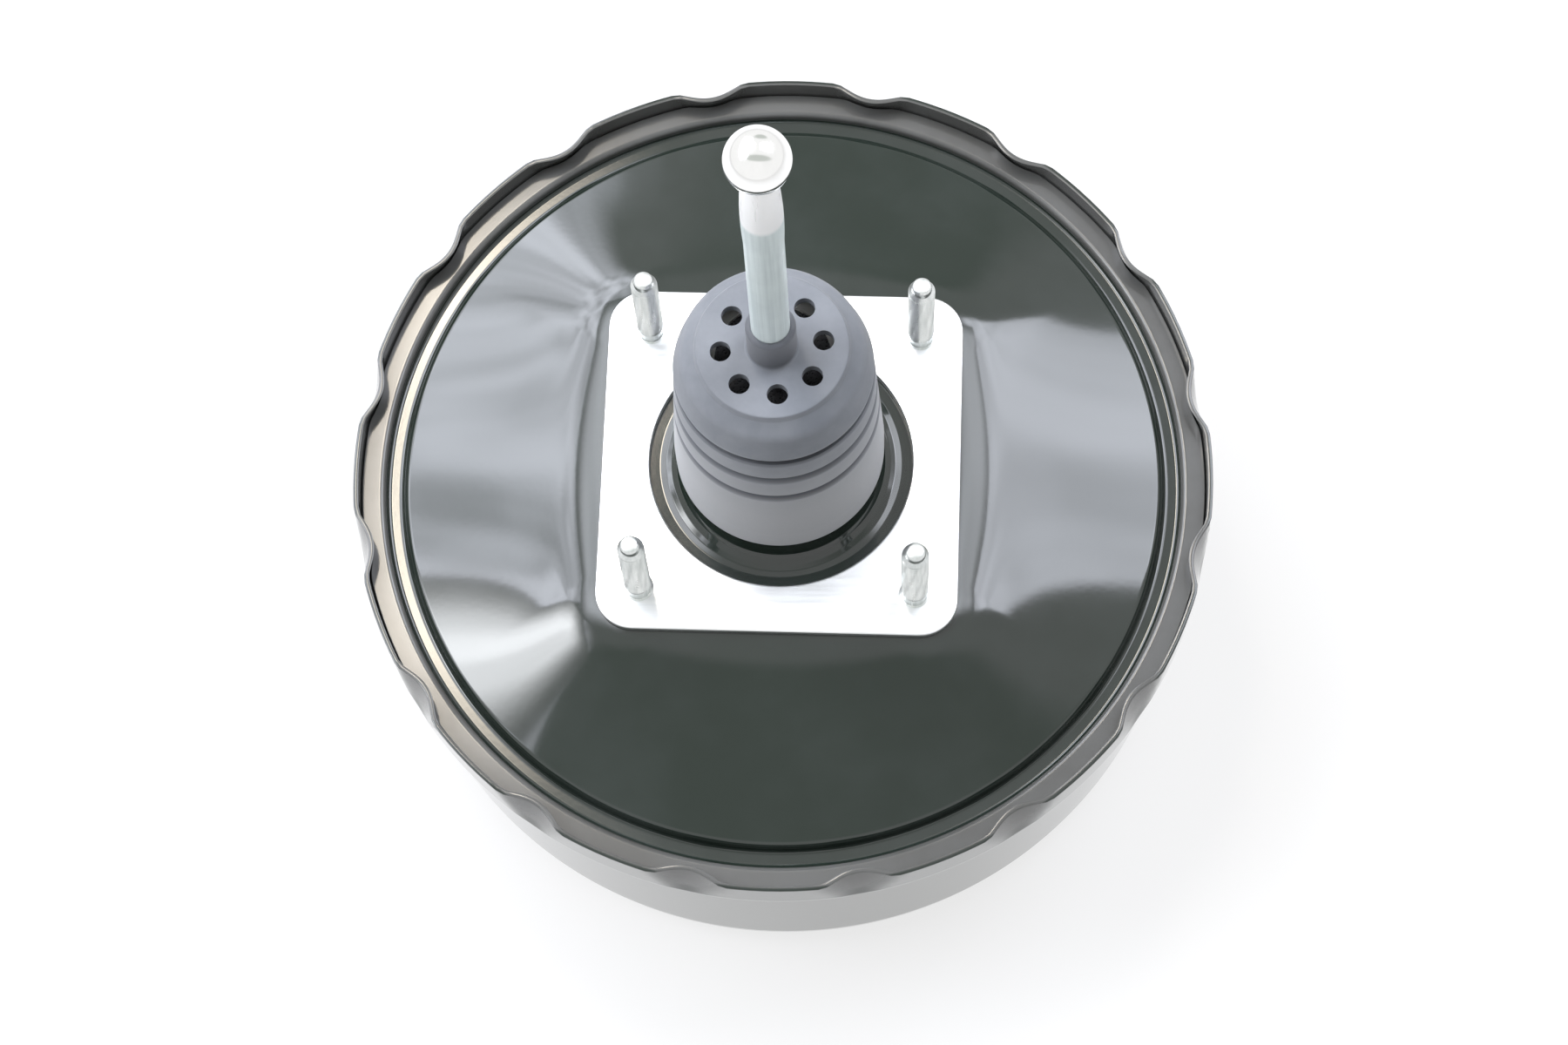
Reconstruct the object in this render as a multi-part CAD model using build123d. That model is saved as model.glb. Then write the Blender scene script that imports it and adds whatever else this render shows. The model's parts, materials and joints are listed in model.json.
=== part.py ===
from build123d import *
from math import atan2, tan
import os

# Vacuum brake booster, in millimetres.
# The origin is the centre of the four rear studs on the face of the mounting plate.
# +Z is the booster's axis, towards the brake pedal. The front shell points down.

half = 0.5                  # share of a width on each side of its middle

# Pressed steel and shared clearances
sheet = 1.6                 # wall of both pressed shells
overrun = 5.0               # how far a cutting tool runs past what it cuts
running = 0.05              # radial clearance of a sliding or turning fit
loose = 0.3                 # gap between pieces that only pass each other

# Rim, where the front shell is crimped over the rear shell
rim_radius = 131.0
lip_top = -9.4
lip_bend = 2.0
crimp_count = 16
crimp_phase = 12.0          # degrees from +X to the first crimp
crimp_depth = 4.0
crimp_height = 12.6
crimp_nose = 8.0            # radius of the crimping tool's nose at its lowest point

# Front shell, below the rim
ledge_width = 4.5
body_radius_top = rim_radius - ledge_width
body_taper = 1.5
body_radius_low = body_radius_top - body_taper
front_face = -106.0
front_corner = 15.2
shoulder_drop = 1.8         # the outer ring of the front lies this much above the front face
front_ring_radius = 86.0
recess_radius_low = 67.0
recess_radius_top = 59.0
recess_face = -80.0         # face that the master cylinder is bolted to
recess_bend = 4.0
ring_bend = 6.0
snout_bore = 19.5

# Pocket for the check valve in the front shell's corner
valve_inset = 20.5          # how far the valve stands inside the shell's side
valve_radius = body_radius_top - valve_inset
valve_pocket_radius = 24.0
pocket_depth = 22.0
valve_pad = front_face + pocket_depth   # outside face of the pocket's floor
grommet_hole = 8.4

# Rear shell
lip_stand = 6.8             # how far the lip stands above the flange
flange_face = lip_top - lip_stand
flange_gap = 0.3
flange_width = 9.1          # from the rim to the groove's outer edge
groove_outer = rim_radius - flange_width
groove_width = 5.6
groove_inner = groove_outer - groove_width
groove_depth = 3.2
groove_bend = 1.6
face_bend = 2.2
plateau_radius = 76.0
plateau_bend = 40.0
guide_radius = 24.5         # outer radius of the valve body where it slides
neck_room = 5.0             # from the valve body to the neck's outside
neck_radius = guide_radius + neck_room
neck_root = 7.0
neck_top = 21.8
neck_lip_gap = 0.9
neck_lip = guide_radius + neck_lip_gap
neck_lip_bend = 1.4

# Rear mounting plate and its studs
stud_spacing = 82.5
plate_margin = 13.0         # from a stud's middle to the plate's edge
plate_width = stud_spacing + 2 * plate_margin
plate_sheet = 2.5
plate_corner = 11.5
plate_bore_room = 10.25     # from the neck to the plate's bore
plate_bore = neck_radius + plate_bore_room
stud_radius = 4.0
stud_length = 40.0
stud_tip = 3.0
stud_tip_radius = 3.3
stud_groove = 0.6
stud_shank = 4.6            # radius of the knurled shank that is pressed through the sheets
stud_head = 8.0
stud_head_height = 2.2

# Master cylinder side
brace_radius = 52.0
brace_sheet = 3.0
cylinder_stud_spacing = 80.0
cylinder_stud_length = 25.0
front_seal_lip = 0.3        # the seal's hole is this much wider than the shell's, all round
front_seal_inner = snout_bore + front_seal_lip
front_seal_width = 4.6
front_seal_outer = front_seal_inner + front_seal_width
front_seal_height = 5.4
front_seal_floor = 1.6

# Seal, bearing and retainer in the neck
bearing_low = 12.0
seal_low = 4.0
seal_wall = 1.3
seal_web = 2.4
retainer_sheet = 1.2
retainer_flange = 40.0
retainer_radius = neck_radius - sheet - loose

# Valve body
tail_taper = 2.5
tail_radius = guide_radius - tail_taper
tail_wall = 2.2
hub_flange_radius = 34.0
hub_flange_low = -26.0
hub_flange_top = -22.0
nose_radius = 15.5
nose_low = -40.0
disc_pocket_radius = 12.2
disc_pocket_top = -30.0
plunger_bore = 7.6
plunger_bore_top = 8.0
filter_bore = tail_radius - tail_wall
filter_ledge = 1.0
poppet_bore = filter_bore - filter_ledge
seat_ledge = 2.6            # floor between the seat and the poppet's bore
seat_outer = poppet_bore - seat_ledge
seat_width = 1.6
seat_inner = seat_outer - seat_width
seat_height = 1.2
head_ledge = 1.9
head_bore = seat_inner - head_ledge
valve_floor = 26.0
passage_radius = 2.9
passage_shift = 0.5
passage_offset = poppet_bore + passage_shift

# Poppet valve, the room above it for the rod's spring, and the air filters, one on another
poppet_gap = 0.4            # the poppet stands this far off its seat
poppet_face = valve_floor + seat_height + poppet_gap
poppet_face_thickness = 2.6
poppet_length = 19.4
poppet_bead_top = poppet_face + poppet_length
poppet_bead_height = 3.5
poppet_bead_low = poppet_bead_top - poppet_bead_height
poppet_hole = 9.0
poppet_fold_room = 1.0
poppet_radius = poppet_bore - poppet_fold_room
poppet_wall = 1.4
clip_sheet = 1.4
clip_rim = 6.3
clip_hole = poppet_bore - clip_rim
clip_collar = 4.8
spring_chamber = 15.8
filter_step = poppet_bead_top + spring_chamber
filter_height = 14.7
filter_top = filter_step + filter_height
silencer_height = 5.0
silencer_top = filter_top + silencer_height
filter_ring_sheet = 1.5
tail_top = silencer_top + filter_ring_sheet
tail_step_drop = 4.8
tail_start = filter_step - tail_step_drop
filter_hole = 8.4
filter_ring_width = 3.3
filter_ring_hole = filter_bore - filter_ring_width

# Retaining key and valve plunger
key_top = -5.7
key_thickness = 3.0
key_width = 15.0
key_reach = 29.0
key_tail = 9.0
waist_radius = 4.6
plunger_travel = 1.4
nose_gap = 1.5              # the plunger's nose stands this far off the reaction disc
plunger_nose = disc_pocket_top + nose_gap
plunger_shoulder = 9.5
plunger_head_low = 11.0
plunger_head_top = poppet_face - loose
plunger_cup = 8.0
plunger_cup_floor = 19.0
socket_centre = 17.0
socket_radius = 5.5
seat_edge = 1.5

# Input rod, its ball and its spring seat
rod_neck_radius = 4.5
rod_radius = 5.4
seat_drop = 1.2             # the rod's shoulder lies this far under the filter
rod_shoulder = filter_step - seat_drop
ball_radius = 8.72
ball_height = 217.1
ball_seat_radius = 4.0
throat_drop = 11.1
rod_throat = ball_height - throat_drop
rod_throat_radius = 4.75
polish_drop = 49.1
rod_polish = ball_height - polish_drop  # where the turned end of the rod starts
rod_polish_radius = 5.6
spring_seat_rim = 2.4
spring_seat_radius = poppet_bore - spring_seat_rim
spring_seat_sheet = 1.2
spring_seat_room = 0.8      # room for the seat to tilt with the rod

# Reaction disc and output rod
reaction_thickness = 4.0
output_head_thickness = 3.5
output_radius = 5.0
output_reach = 8.0          # the output rod's tip stands this far past the master cylinder's face
tip_end = recess_face - output_reach
tip_length = 10.0
output_end = tip_end + tip_length
output_bore_depth = 12.0
output_cap_thickness = 1.2
tip_screw_radius = 3.0
tip_hex_width = 10.0
tip_hex_height = 4.0
tip_hex_sides = 6
tip_radius = 3.6

# Diaphragm and its plate
rubber = 2.0
clamp_room = 0.4            # between the rear shell's groove and the diaphragm
ledge_face = flange_face - sheet - groove_depth - rubber - clamp_room
fold_room = 3.3             # from the front shell's inside to the middle of the fold's wall
fold_radius_outer = body_radius_top - sheet - fold_room
fold_span = 17.6
support_radius = fold_radius_outer - fold_span
support_sheet = 1.5
support_step_inner = 52.0
support_step_outer = 70.0
support_step_drop = 3.75
support_rim_height = 14.0
support_rim_low = hub_flange_top - support_rim_height
support_bend = 3.0
fold_depth = 13.0
fold_bottom = support_rim_low - fold_depth
bead_width = 3.2
bead_room = 1.8             # between the bead and the front shell's lip
bead_outer = rim_radius - sheet - bead_room
bead_inner = bead_outer - bead_width
hub_bead_width = 4.0
hub_bead_radius = guide_radius + hub_bead_width
hub_bead_height = 3.0

# Springs
return_wire = 3.6
return_coil = 27.0
return_turns = 4.0
rod_spring_wire = 1.8
rod_spring_side = 3.6       # from the valve body's bore to the middle of the wire
rod_spring_coil = poppet_bore - rod_spring_side
rod_spring_turns = 3.0
poppet_spring_wire = 1.3
poppet_spring_side = 3.6    # from the poppet's outside to the middle of the wire
poppet_spring_coil = poppet_radius - poppet_spring_side
poppet_spring_turns = 4.0
valve_spring_wire = 0.9
valve_spring_coil = 4.6
valve_spring_turns = 3.0

# Dust boot
boot_wall = 1.6
boot_low = 11.7
boot_cuff_top = 22.0
boot_room = 9.6             # from the valve body's end to the boot's outer face
boot_disc_face = tail_top + boot_room
boot_shoulder_drop = 14.6
boot_shoulder = boot_disc_face - boot_shoulder_drop
boot_groove_shares = (0.49, 0.72, 0.94)
boot_groove_width = 3.2
boot_groove_depth = 1.1
boot_groove_bend = 0.9
boot_side_room = 3.1
boot_top_radius = guide_radius + boot_side_room     # middle of the wall at the shoulder's start
boot_shoulder_inset = 2.2
boot_shoulder_radius = boot_top_radius - boot_shoulder_inset
boot_shoulder_height = 8.5
boot_shoulder_middle = boot_shoulder + boot_shoulder_height
boot_shoulder_bend = 8.0
boot_disc_inset = 3.9
boot_disc_radius = boot_shoulder_radius - boot_disc_inset
boot_disc_step = 1.1
boot_disc_bend = 4.0
boot_nose_height = 3.6
vent_count = 8
vent_radius = 2.97
vent_circle = 14.45
vent_phase = 8.0            # degrees

# Vacuum check valve
grommet_flange = 12.0
grommet_lip = 2.4
grommet_wall = 2.0
stub_radius = grommet_hole - grommet_wall
stub_reach = 5.4
stub_top = valve_pad + stub_reach
stub_bore = 3.5
can_radius = 11.0
can_side = 2.8
can_bore = can_radius - can_side
can_height = 10.0
can_split = valve_pad - can_height
cap_height = 11.4
cap_end = can_split - cap_height
nipple_height = half * (can_split + cap_end)
nipple_radius = 5.0
nipple_bore = 3.2
nipple_foot_radius = 5.6
nipple_foot = 1.8           # length of the nipple's shoulder outside the can
nipple_length = 19.0
nipple_chamfer = 1.0
nipple_tip = valve_radius + can_radius + nipple_foot + nipple_length
can_wall = 2.2
lift_disc_radius = 6.4
lift_disc_thickness = 1.8

on_floor = (Align.CENTER, Align.CENTER, Align.MIN)
skin = half * sheet


# Turns a flat outline, drawn as radius and height, round the axis.
def turned(face):
    return revolve(Plane.XZ * face, Axis.Z)


# A ring, or a disc when the inner radius is zero.
def ring(inner, outer, low, high):
    solid = Pos(0, 0, low) * Cylinder(outer, high - low, align=on_floor)
    if inner > 0:
        bore = Pos(0, 0, low - overrun)
        solid -= bore * Cylinder(inner, high - low + 2 * overrun, align=on_floor)
    return solid


# A turned piece with straight sides, from its corners.
def turned_profile(*corners):
    return turned(make_face(Polyline(*corners, close=True)))


# A pressed sheet: a band of even thickness along its middle line, turned round the axis.
def pressed(corners, bends, thickness):
    middle = FilletPolyline(*corners, radius=bends)
    return turned(trace(middle, thickness))


# A cylinder that lies along +Y between two distances from the axis.
def rod_along_y(radius, start, end, height):
    return Pos(0, start, height) * Rot(-90, 0, 0) * Cylinder(radius, end - start, align=on_floor)


# A round wire wound along a helix.
def coil_spring(wire, coil, low, high, turns):
    rise = high - low - wire
    line = Helix(rise / turns, rise, coil)
    section = Plane(origin=line @ 0, z_dir=line % 0) * Circle(half * wire)
    return Pos(0, 0, low + half * wire) * sweep(section, path=line, is_frenet=True)


# The crimping tool: a cone that widens upwards, standing just outside the rim.
def crimp_cones(grow):
    slope = crimp_depth / crimp_height
    top = crimp_nose + crimp_depth + slope * overrun + grow
    cone = Cone(crimp_nose + grow, top, crimp_height + overrun, align=on_floor)
    places = PolarLocations(rim_radius + crimp_nose, crimp_count, start_angle=crimp_phase)
    return [Pos(0, 0, lip_top - crimp_height) * place * cone for place in places]


def front_shell_line():
    corners = [
        (rim_radius - skin, lip_top),
        (rim_radius - skin, ledge_face - skin),
        (body_radius_top - skin, ledge_face - skin),
        (body_radius_low - skin, front_face + shoulder_drop + skin),
        (front_ring_radius, front_face + skin),
        (recess_radius_low, front_face + skin),
        (recess_radius_top, recess_face + skin),
        (snout_bore, recess_face + skin),
    ]
    bends = [lip_bend, lip_bend, front_corner, ring_bend, recess_bend, recess_bend]
    return corners, bends


# The front shell: a deep pressing with a lip, a ledge, a recess for the master cylinder
# and a pocket for the check valve. Sixteen crimps turn its lip in over the rear shell.
def front_shell():
    corners, bends = front_shell_line()
    shell = pressed(corners, bends, sheet)
    middle = FilletPolyline(*corners, radius=bends)
    closing = Polyline(corners[-1], (0, corners[-1][1]), (0, corners[0][1]), corners[0])
    filled = turned(make_face(middle + closing))

    depth = valve_pad - front_face + overrun
    pocket = Pos(0, valve_radius, valve_pad - depth) * Cylinder(valve_pocket_radius, depth, align=on_floor)
    around = Pos(0, valve_radius, valve_pad - depth)
    around *= Cylinder(valve_pocket_radius + sheet, depth + sheet, align=on_floor)
    shell = shell - pocket + ((around - pocket) & filled)
    hole = Pos(0, valve_radius, valve_pad - overrun)
    shell -= hole * Cylinder(grommet_hole, 2 * overrun + sheet, align=on_floor)

    lip = ring(0, rim_radius, lip_top - crimp_height, lip_top)
    folds = []
    for outside, inside in zip(crimp_cones(0), crimp_cones(sheet)):
        folds.append((inside & lip) - outside)
    shell = shell - crimp_cones(0)
    for fold in folds:
        shell += fold

    for side in (-1, 1):
        hole = Pos(side * half * cylinder_stud_spacing, 0, recess_face - overrun)
        shell -= hole * Cylinder(stud_shank, 2 * overrun + sheet, align=on_floor)
    return shell


# The rear shell: a flange held under the crimps, a groove, a shallow cone, a flat under
# the mounting plate and the neck that carries the seal.
def rear_shell():
    flange_radius = rim_radius - sheet - flange_gap
    corners = [
        (flange_radius, flange_face - skin),
        (groove_outer + skin, flange_face - skin),
        (groove_outer + skin, flange_face - groove_depth - skin),
        (groove_inner - skin, flange_face - groove_depth - skin),
        (groove_inner - skin, flange_face - half * skin),
        (plateau_radius, -plate_sheet - skin),
        (neck_radius - skin, -plate_sheet - skin),
        (neck_radius - skin, neck_top - skin),
        (neck_lip, neck_top - skin),
    ]
    bends = [
        groove_bend, groove_bend, groove_bend, face_bend, plateau_bend,
        neck_root + skin, neck_lip_bend,
    ]
    shell = pressed(corners, bends, sheet) - crimp_cones(sheet + flange_gap)
    for place in GridLocations(stud_spacing, stud_spacing, 2, 2):
        hole = Cylinder(stud_shank, plate_sheet + sheet + 2 * overrun)
        shell -= place * hole
    return shell


def rear_mounting_plate():
    outline = RectangleRounded(plate_width, plate_width, plate_corner) - Circle(plate_bore)
    outline -= GridLocations(stud_spacing, stud_spacing, 2, 2) * Circle(stud_shank)
    return Pos(0, 0, -plate_sheet) * extrude(outline, plate_sheet)


# One stud along +Z. Its head lies under the sheets and its shank ends level with their face.
def stud(head_face, face, end):
    tip = end - stud_tip
    return turned_profile(
        (0, head_face - stud_head_height),
        (stud_head, head_face - stud_head_height),
        (stud_head, head_face),
        (stud_shank, head_face),
        (stud_shank, face),
        (stud_radius, face),
        (stud_radius, tip - stud_tip),
        (stud_radius - stud_groove, tip - half * stud_tip),
        (stud_tip_radius, tip),
        (stud_tip_radius, tip + half * stud_tip),
        (half * stud_tip_radius, end),
        (0, end),
    )


def rear_studs():
    one = stud(-plate_sheet - sheet, 0, stud_length)
    return Compound([place * one for place in GridLocations(stud_spacing, stud_spacing, 2, 2)])


def master_cylinder_studs():
    inner_face = recess_face + sheet + brace_sheet
    one = Rot(180, 0, 0) * stud(-inner_face, -recess_face, -recess_face + cylinder_stud_length)
    return Compound([place * one for place in GridLocations(cylinder_stud_spacing, 0, 2, 1)])


def front_reinforcement_plate():
    low = recess_face + sheet
    plate = ring(snout_bore, brace_radius, low, low + brace_sheet)
    for place in GridLocations(cylinder_stud_spacing, 0, 2, 1):
        plate -= place * Pos(0, 0, low - overrun) * Cylinder(
            stud_shank, brace_sheet + 2 * overrun, align=on_floor
        )
    return plate


def front_seal():
    low = recess_face + sheet + brace_sheet
    floor = low + front_seal_floor
    body = ring(front_seal_inner, front_seal_outer, low, low + front_seal_height)
    gap = half * (front_seal_outer - front_seal_inner - front_seal_floor)
    middle = half * (front_seal_outer + front_seal_inner)
    return body - ring(middle - half * gap, middle + half * gap, floor, low + front_seal_height + overrun)


def neck_bearing():
    return ring(guide_radius + running, neck_radius - sheet, bearing_low, neck_top - skin - neck_lip_bend)


# The neck seal is a channel ring: an outer wall in the neck and a lip on the valve body.
def neck_seal():
    inner = guide_radius + 2 * running
    outer = neck_radius - sheet
    body = ring(inner, outer, seal_low, bearing_low)
    return body - ring(inner + seal_wall, outer - seal_wall, seal_low - overrun, bearing_low - seal_web)


def seal_retainer():
    under = -plate_sheet - sheet
    inner = retainer_radius - retainer_sheet
    flange = ring(inner, retainer_flange, under - retainer_sheet, under)
    return flange + ring(inner, retainer_radius, under - retainer_sheet, seal_low)


# The valve body: the piston's hub, with the pocket for the reaction disc, the plunger's
# bore, the vacuum seat, the poppet's bore and the filter's bore one behind another.
def valve_body():
    body = turned_profile(
        (plunger_bore, disc_pocket_top),
        (disc_pocket_radius, disc_pocket_top),
        (disc_pocket_radius, nose_low),
        (nose_radius, nose_low),
        (nose_radius, hub_flange_low),
        (hub_flange_radius, hub_flange_low),
        (hub_flange_radius, hub_flange_top),
        (guide_radius, hub_flange_top),
        (guide_radius, tail_start),
        (tail_radius, tail_start + tail_taper),
        (tail_radius, tail_top),
        (filter_bore, tail_top),
        (filter_bore, filter_step),
        (poppet_bore, filter_step),
        (poppet_bore, valve_floor),
        (seat_outer, valve_floor),
        (seat_outer, valve_floor + seat_height),
        (seat_inner, valve_floor + seat_height),
        (seat_inner, valve_floor),
        (head_bore, valve_floor),
        (head_bore, plunger_bore_top),
        (plunger_bore, plunger_bore_top),
    )
    slot_height = key_thickness + 2 * loose
    slot_length = guide_radius + key_tail + overrun
    slot = Box(slot_length, key_width + 2 * loose, slot_height, align=(Align.MIN, Align.CENTER, Align.MAX))
    body -= Pos(-key_tail - loose, 0, key_top + loose) * slot
    for side in (-1, 1):
        passage = Pos(0, side * passage_offset, hub_flange_low - overrun)
        length = valve_floor - hub_flange_low + overrun + running
        body -= passage * Cylinder(passage_radius, length, align=on_floor)
    return body


# The key is a fork round the plunger's waist. Its outer end stops on the seal retainer.
def retaining_key():
    length = key_reach + key_tail
    key = Box(length, key_width, key_thickness, align=(Align.MIN, Align.CENTER, Align.MAX))
    key = Pos(-key_tail, 0, key_top) * key
    gap = 2 * (waist_radius + loose)
    opening = Box(key_tail + overrun, gap, key_thickness + 2 * overrun, align=(Align.MAX, Align.CENTER, Align.CENTER))
    key -= Pos(0, 0, key_top) * opening
    return key - Pos(0, 0, key_top) * Cylinder(half * gap, key_thickness + 2 * overrun)


def reaction_disc():
    return ring(0, disc_pocket_radius - loose, disc_pocket_top - reaction_thickness, disc_pocket_top)


def output_rod():
    head_top = disc_pocket_top - reaction_thickness
    head_low = head_top - output_head_thickness
    rod = ring(0, disc_pocket_radius - loose, head_low, head_top)
    rod += ring(0, output_radius, output_end, head_low)
    return rod - ring(0, tip_screw_radius, output_end - overrun, output_end + output_bore_depth)


def output_rod_retainer():
    high = disc_pocket_top - reaction_thickness - output_head_thickness
    return ring(output_radius + loose, disc_pocket_radius, high - output_cap_thickness, high)


# The adjusting screw in the output rod's end: a shank, a hexagon and a domed tip.
def output_rod_screw():
    hexagon = RegularPolygon(half * tip_hex_width, tip_hex_sides, major_radius=False)
    hexagon = extrude(hexagon, tip_hex_height)
    hex_low = output_end - tip_hex_height
    screw = Pos(0, 0, hex_low) * hexagon
    screw += ring(0, tip_screw_radius - running, hex_low, output_end + output_bore_depth - loose)
    dome_centre = tip_end + tip_radius
    screw += ring(0, tip_radius, dome_centre, hex_low)
    return screw + Pos(0, 0, dome_centre) * Sphere(tip_radius)


def diaphragm_plate():
    level = hub_flange_top + half * support_sheet
    low = level - support_step_drop
    edge = support_radius - half * support_sheet
    corners = [
        (guide_radius + running, level),
        (support_step_inner, level),
        (support_step_outer, low),
        (edge, low),
        (edge, support_rim_low),
    ]
    return pressed(corners, [support_bend, support_bend, support_bend], support_sheet)


# The rolling diaphragm: a bead at the hub, a sheet over the plate, one deep fold between
# the plate and the shell, and the outer bead that the two shells clamp.
def diaphragm():
    above = half * (support_sheet + rubber)
    level = hub_flange_top + half * support_sheet + above
    low = level - support_step_drop
    shift = above * tan(half * atan2(support_step_drop, support_step_outer - support_step_inner))
    inside = support_radius + loose + half * rubber
    outside = fold_radius_outer
    run = ledge_face + loose + half * rubber
    fold = half * (outside - inside) - loose
    corners = [
        (guide_radius + loose, level),
        (support_step_inner + shift, level),
        (support_step_outer + shift, low),
        (inside, low),
        (inside, fold_bottom),
        (outside, fold_bottom),
        (outside, run),
        (bead_inner + half * rubber, run),
    ]
    wide = support_bend + above
    bends = [wide, support_bend - above, wide, fold, fold, half * rubber + loose]
    hub_bead = ring(
        guide_radius + loose, hub_bead_radius, level - half * rubber, level + half * rubber + hub_bead_height
    )
    rim_bead = ring(bead_inner, bead_outer, ledge_face, flange_face - sheet)
    return pressed(corners, bends, rubber) + hub_bead + rim_bead


def main_return_spring():
    low = recess_face + sheet + brace_sheet + loose
    return coil_spring(return_wire, return_coil, low, hub_flange_low - loose, return_turns)


# The valve plunger: a guide, a waist for the key and a cup that holds the rod's ball end.
def valve_plunger():
    guide = plunger_bore - running
    cup_radius = head_bore - 2 * loose
    waist_low = key_top - key_thickness - loose
    waist_top = key_top + plunger_travel + loose
    plunger = turned_profile(
        (0, plunger_nose),
        (guide, plunger_nose),
        (guide, waist_low),
        (waist_radius, waist_low),
        (waist_radius, waist_top),
        (guide, waist_top),
        (guide, plunger_shoulder),
        (cup_radius, plunger_head_low),
        (cup_radius, plunger_head_top),
        (cup_radius - seat_edge, plunger_head_top),
        (plunger_cup, plunger_head_top - seat_edge),
        (plunger_cup, plunger_cup_floor),
        (0, plunger_cup_floor),
    )
    return plunger - Pos(0, 0, socket_centre) * Sphere(socket_radius + running)


def input_rod():
    seat_depth = ball_radius - ball_seat_radius * half
    bar = make_face(
        Polyline(
            (0, socket_centre),
            (rod_neck_radius, socket_centre),
            (rod_neck_radius, rod_shoulder),
            (rod_radius, rod_shoulder),
            (rod_radius, rod_polish),
        )
        + Spline(
            (rod_radius, rod_polish),
            (rod_polish_radius, half * (rod_polish + rod_throat)),
            (rod_throat_radius, rod_throat),
        )
        + Polyline(
            (rod_throat_radius, rod_throat),
            (rod_throat_radius, ball_height - seat_depth),
            (ball_seat_radius, ball_height - seat_depth),
            (ball_seat_radius, ball_height - half * ball_radius),
            (0, ball_height - half * ball_radius),
            (0, socket_centre),
        )
    )
    rod = turned(bar) + Pos(0, 0, socket_centre) * Sphere(socket_radius)
    return rod


# The pedal ball is pressed on the rod's spigot and has a small flat where it seats.
def pedal_ball():
    seat_depth = ball_radius - ball_seat_radius * half
    ball = Pos(0, 0, ball_height) * Sphere(ball_radius)
    spigot = ring(0, ball_seat_radius, ball_height - ball_radius - overrun, ball_height - half * ball_radius)
    below = ring(0, ball_radius, ball_height - ball_radius - overrun, ball_height - seat_depth)
    return ball - spigot - below


def rod_spring_seat():
    return ring(rod_neck_radius + running, spring_seat_radius, rod_shoulder - spring_seat_sheet, rod_shoulder)


def rod_return_spring():
    low = poppet_bead_top + clip_sheet + 3 * loose
    high = rod_shoulder - spring_seat_sheet - spring_seat_room
    return coil_spring(rod_spring_wire, rod_spring_coil, low, high, rod_spring_turns)


def poppet_valve():
    face_top = poppet_face + poppet_face_thickness
    valve = ring(poppet_hole, poppet_radius, poppet_face, face_top)
    valve += ring(poppet_radius - poppet_wall, poppet_radius, face_top, poppet_bead_top)
    return valve + ring(poppet_radius - poppet_wall, poppet_bore, poppet_bead_low, poppet_bead_top)


def poppet_retainer():
    low = poppet_bead_top + half * loose
    flange = ring(clip_hole, poppet_bore, low, low + clip_sheet)
    return flange + ring(clip_hole, clip_hole + half * clip_sheet, low, low + clip_collar)


def poppet_spring():
    low = poppet_face + poppet_face_thickness + half * loose
    return coil_spring(
        poppet_spring_wire, poppet_spring_coil, low, poppet_bead_top, poppet_spring_turns
    )


def air_filter():
    return ring(filter_hole, filter_bore - loose, filter_step, filter_top)


def filter_silencer():
    return ring(filter_hole, filter_bore - loose, filter_top, silencer_top)


def filter_retainer():
    return ring(filter_ring_hole, filter_bore, silencer_top, tail_top)


# The dust boot: a cuff on the neck, a side with shallow ring grooves, a rounded shoulder
# and a raised end with eight vents and a nose that grips the input rod.
def dust_boot():
    skin_boot = half * boot_wall
    cuff = neck_radius + running + skin_boot
    level = boot_disc_face - boot_disc_step - skin_boot
    top = boot_shoulder

    def side(height):
        share = (height - boot_cuff_top) / (top - boot_cuff_top)
        return cuff + share * (boot_top_radius - cuff)

    corners = [(cuff, boot_low), (cuff, boot_cuff_top)]
    bends = [boot_shoulder_bend]
    for share in boot_groove_shares:
        height = boot_cuff_top + share * (top - boot_cuff_top)
        spread = half * boot_groove_width
        corners.append((side(height - spread), height - spread))
        corners.append((side(height) - boot_groove_depth, height))
        corners.append((side(height + spread), height + spread))
        bends += [boot_groove_bend] * 3
    nose = rod_radius + running + skin_boot
    corners.append((boot_shoulder_radius, boot_shoulder_middle))
    corners.append((boot_disc_radius, level))
    corners.append((nose, level))
    corners.append((nose, boot_disc_face + boot_nose_height))
    bends += [boot_shoulder_bend, boot_disc_bend, boot_groove_bend]
    boot = pressed(corners, bends, boot_wall)
    boot += ring(nose, boot_disc_radius, level, boot_disc_face)
    for place in PolarLocations(vent_circle, vent_count, start_angle=vent_phase):
        vent = Pos(0, 0, level - boot_wall) * place
        boot -= vent * Cylinder(vent_radius, 2 * boot_wall + overrun, align=on_floor)
    return boot


# The check valve: a rubber grommet in the pocket's floor, a body with a stub through it,
# a cap with the hose nipple, a disc that lifts away from the booster and its spring.
def at_valve(solid):
    return Pos(0, valve_radius, 0) * solid


def check_valve_grommet():
    low = valve_pad - grommet_lip
    high = valve_pad + sheet + grommet_lip
    grommet = ring(stub_radius, grommet_flange, low, valve_pad)
    grommet += ring(stub_radius, grommet_hole, low, high)
    grommet += ring(stub_radius, grommet_flange - grommet_lip, valve_pad + sheet, high)
    return at_valve(grommet)


def check_valve_body():
    roof = valve_pad - grommet_lip
    body = ring(0, can_radius, can_split, roof)
    body += ring(0, stub_radius, roof, stub_top)
    body -= ring(0, stub_bore, can_split - overrun, stub_top + overrun)
    return at_valve(body - ring(0, can_bore, can_split - overrun, roof - can_wall))


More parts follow.
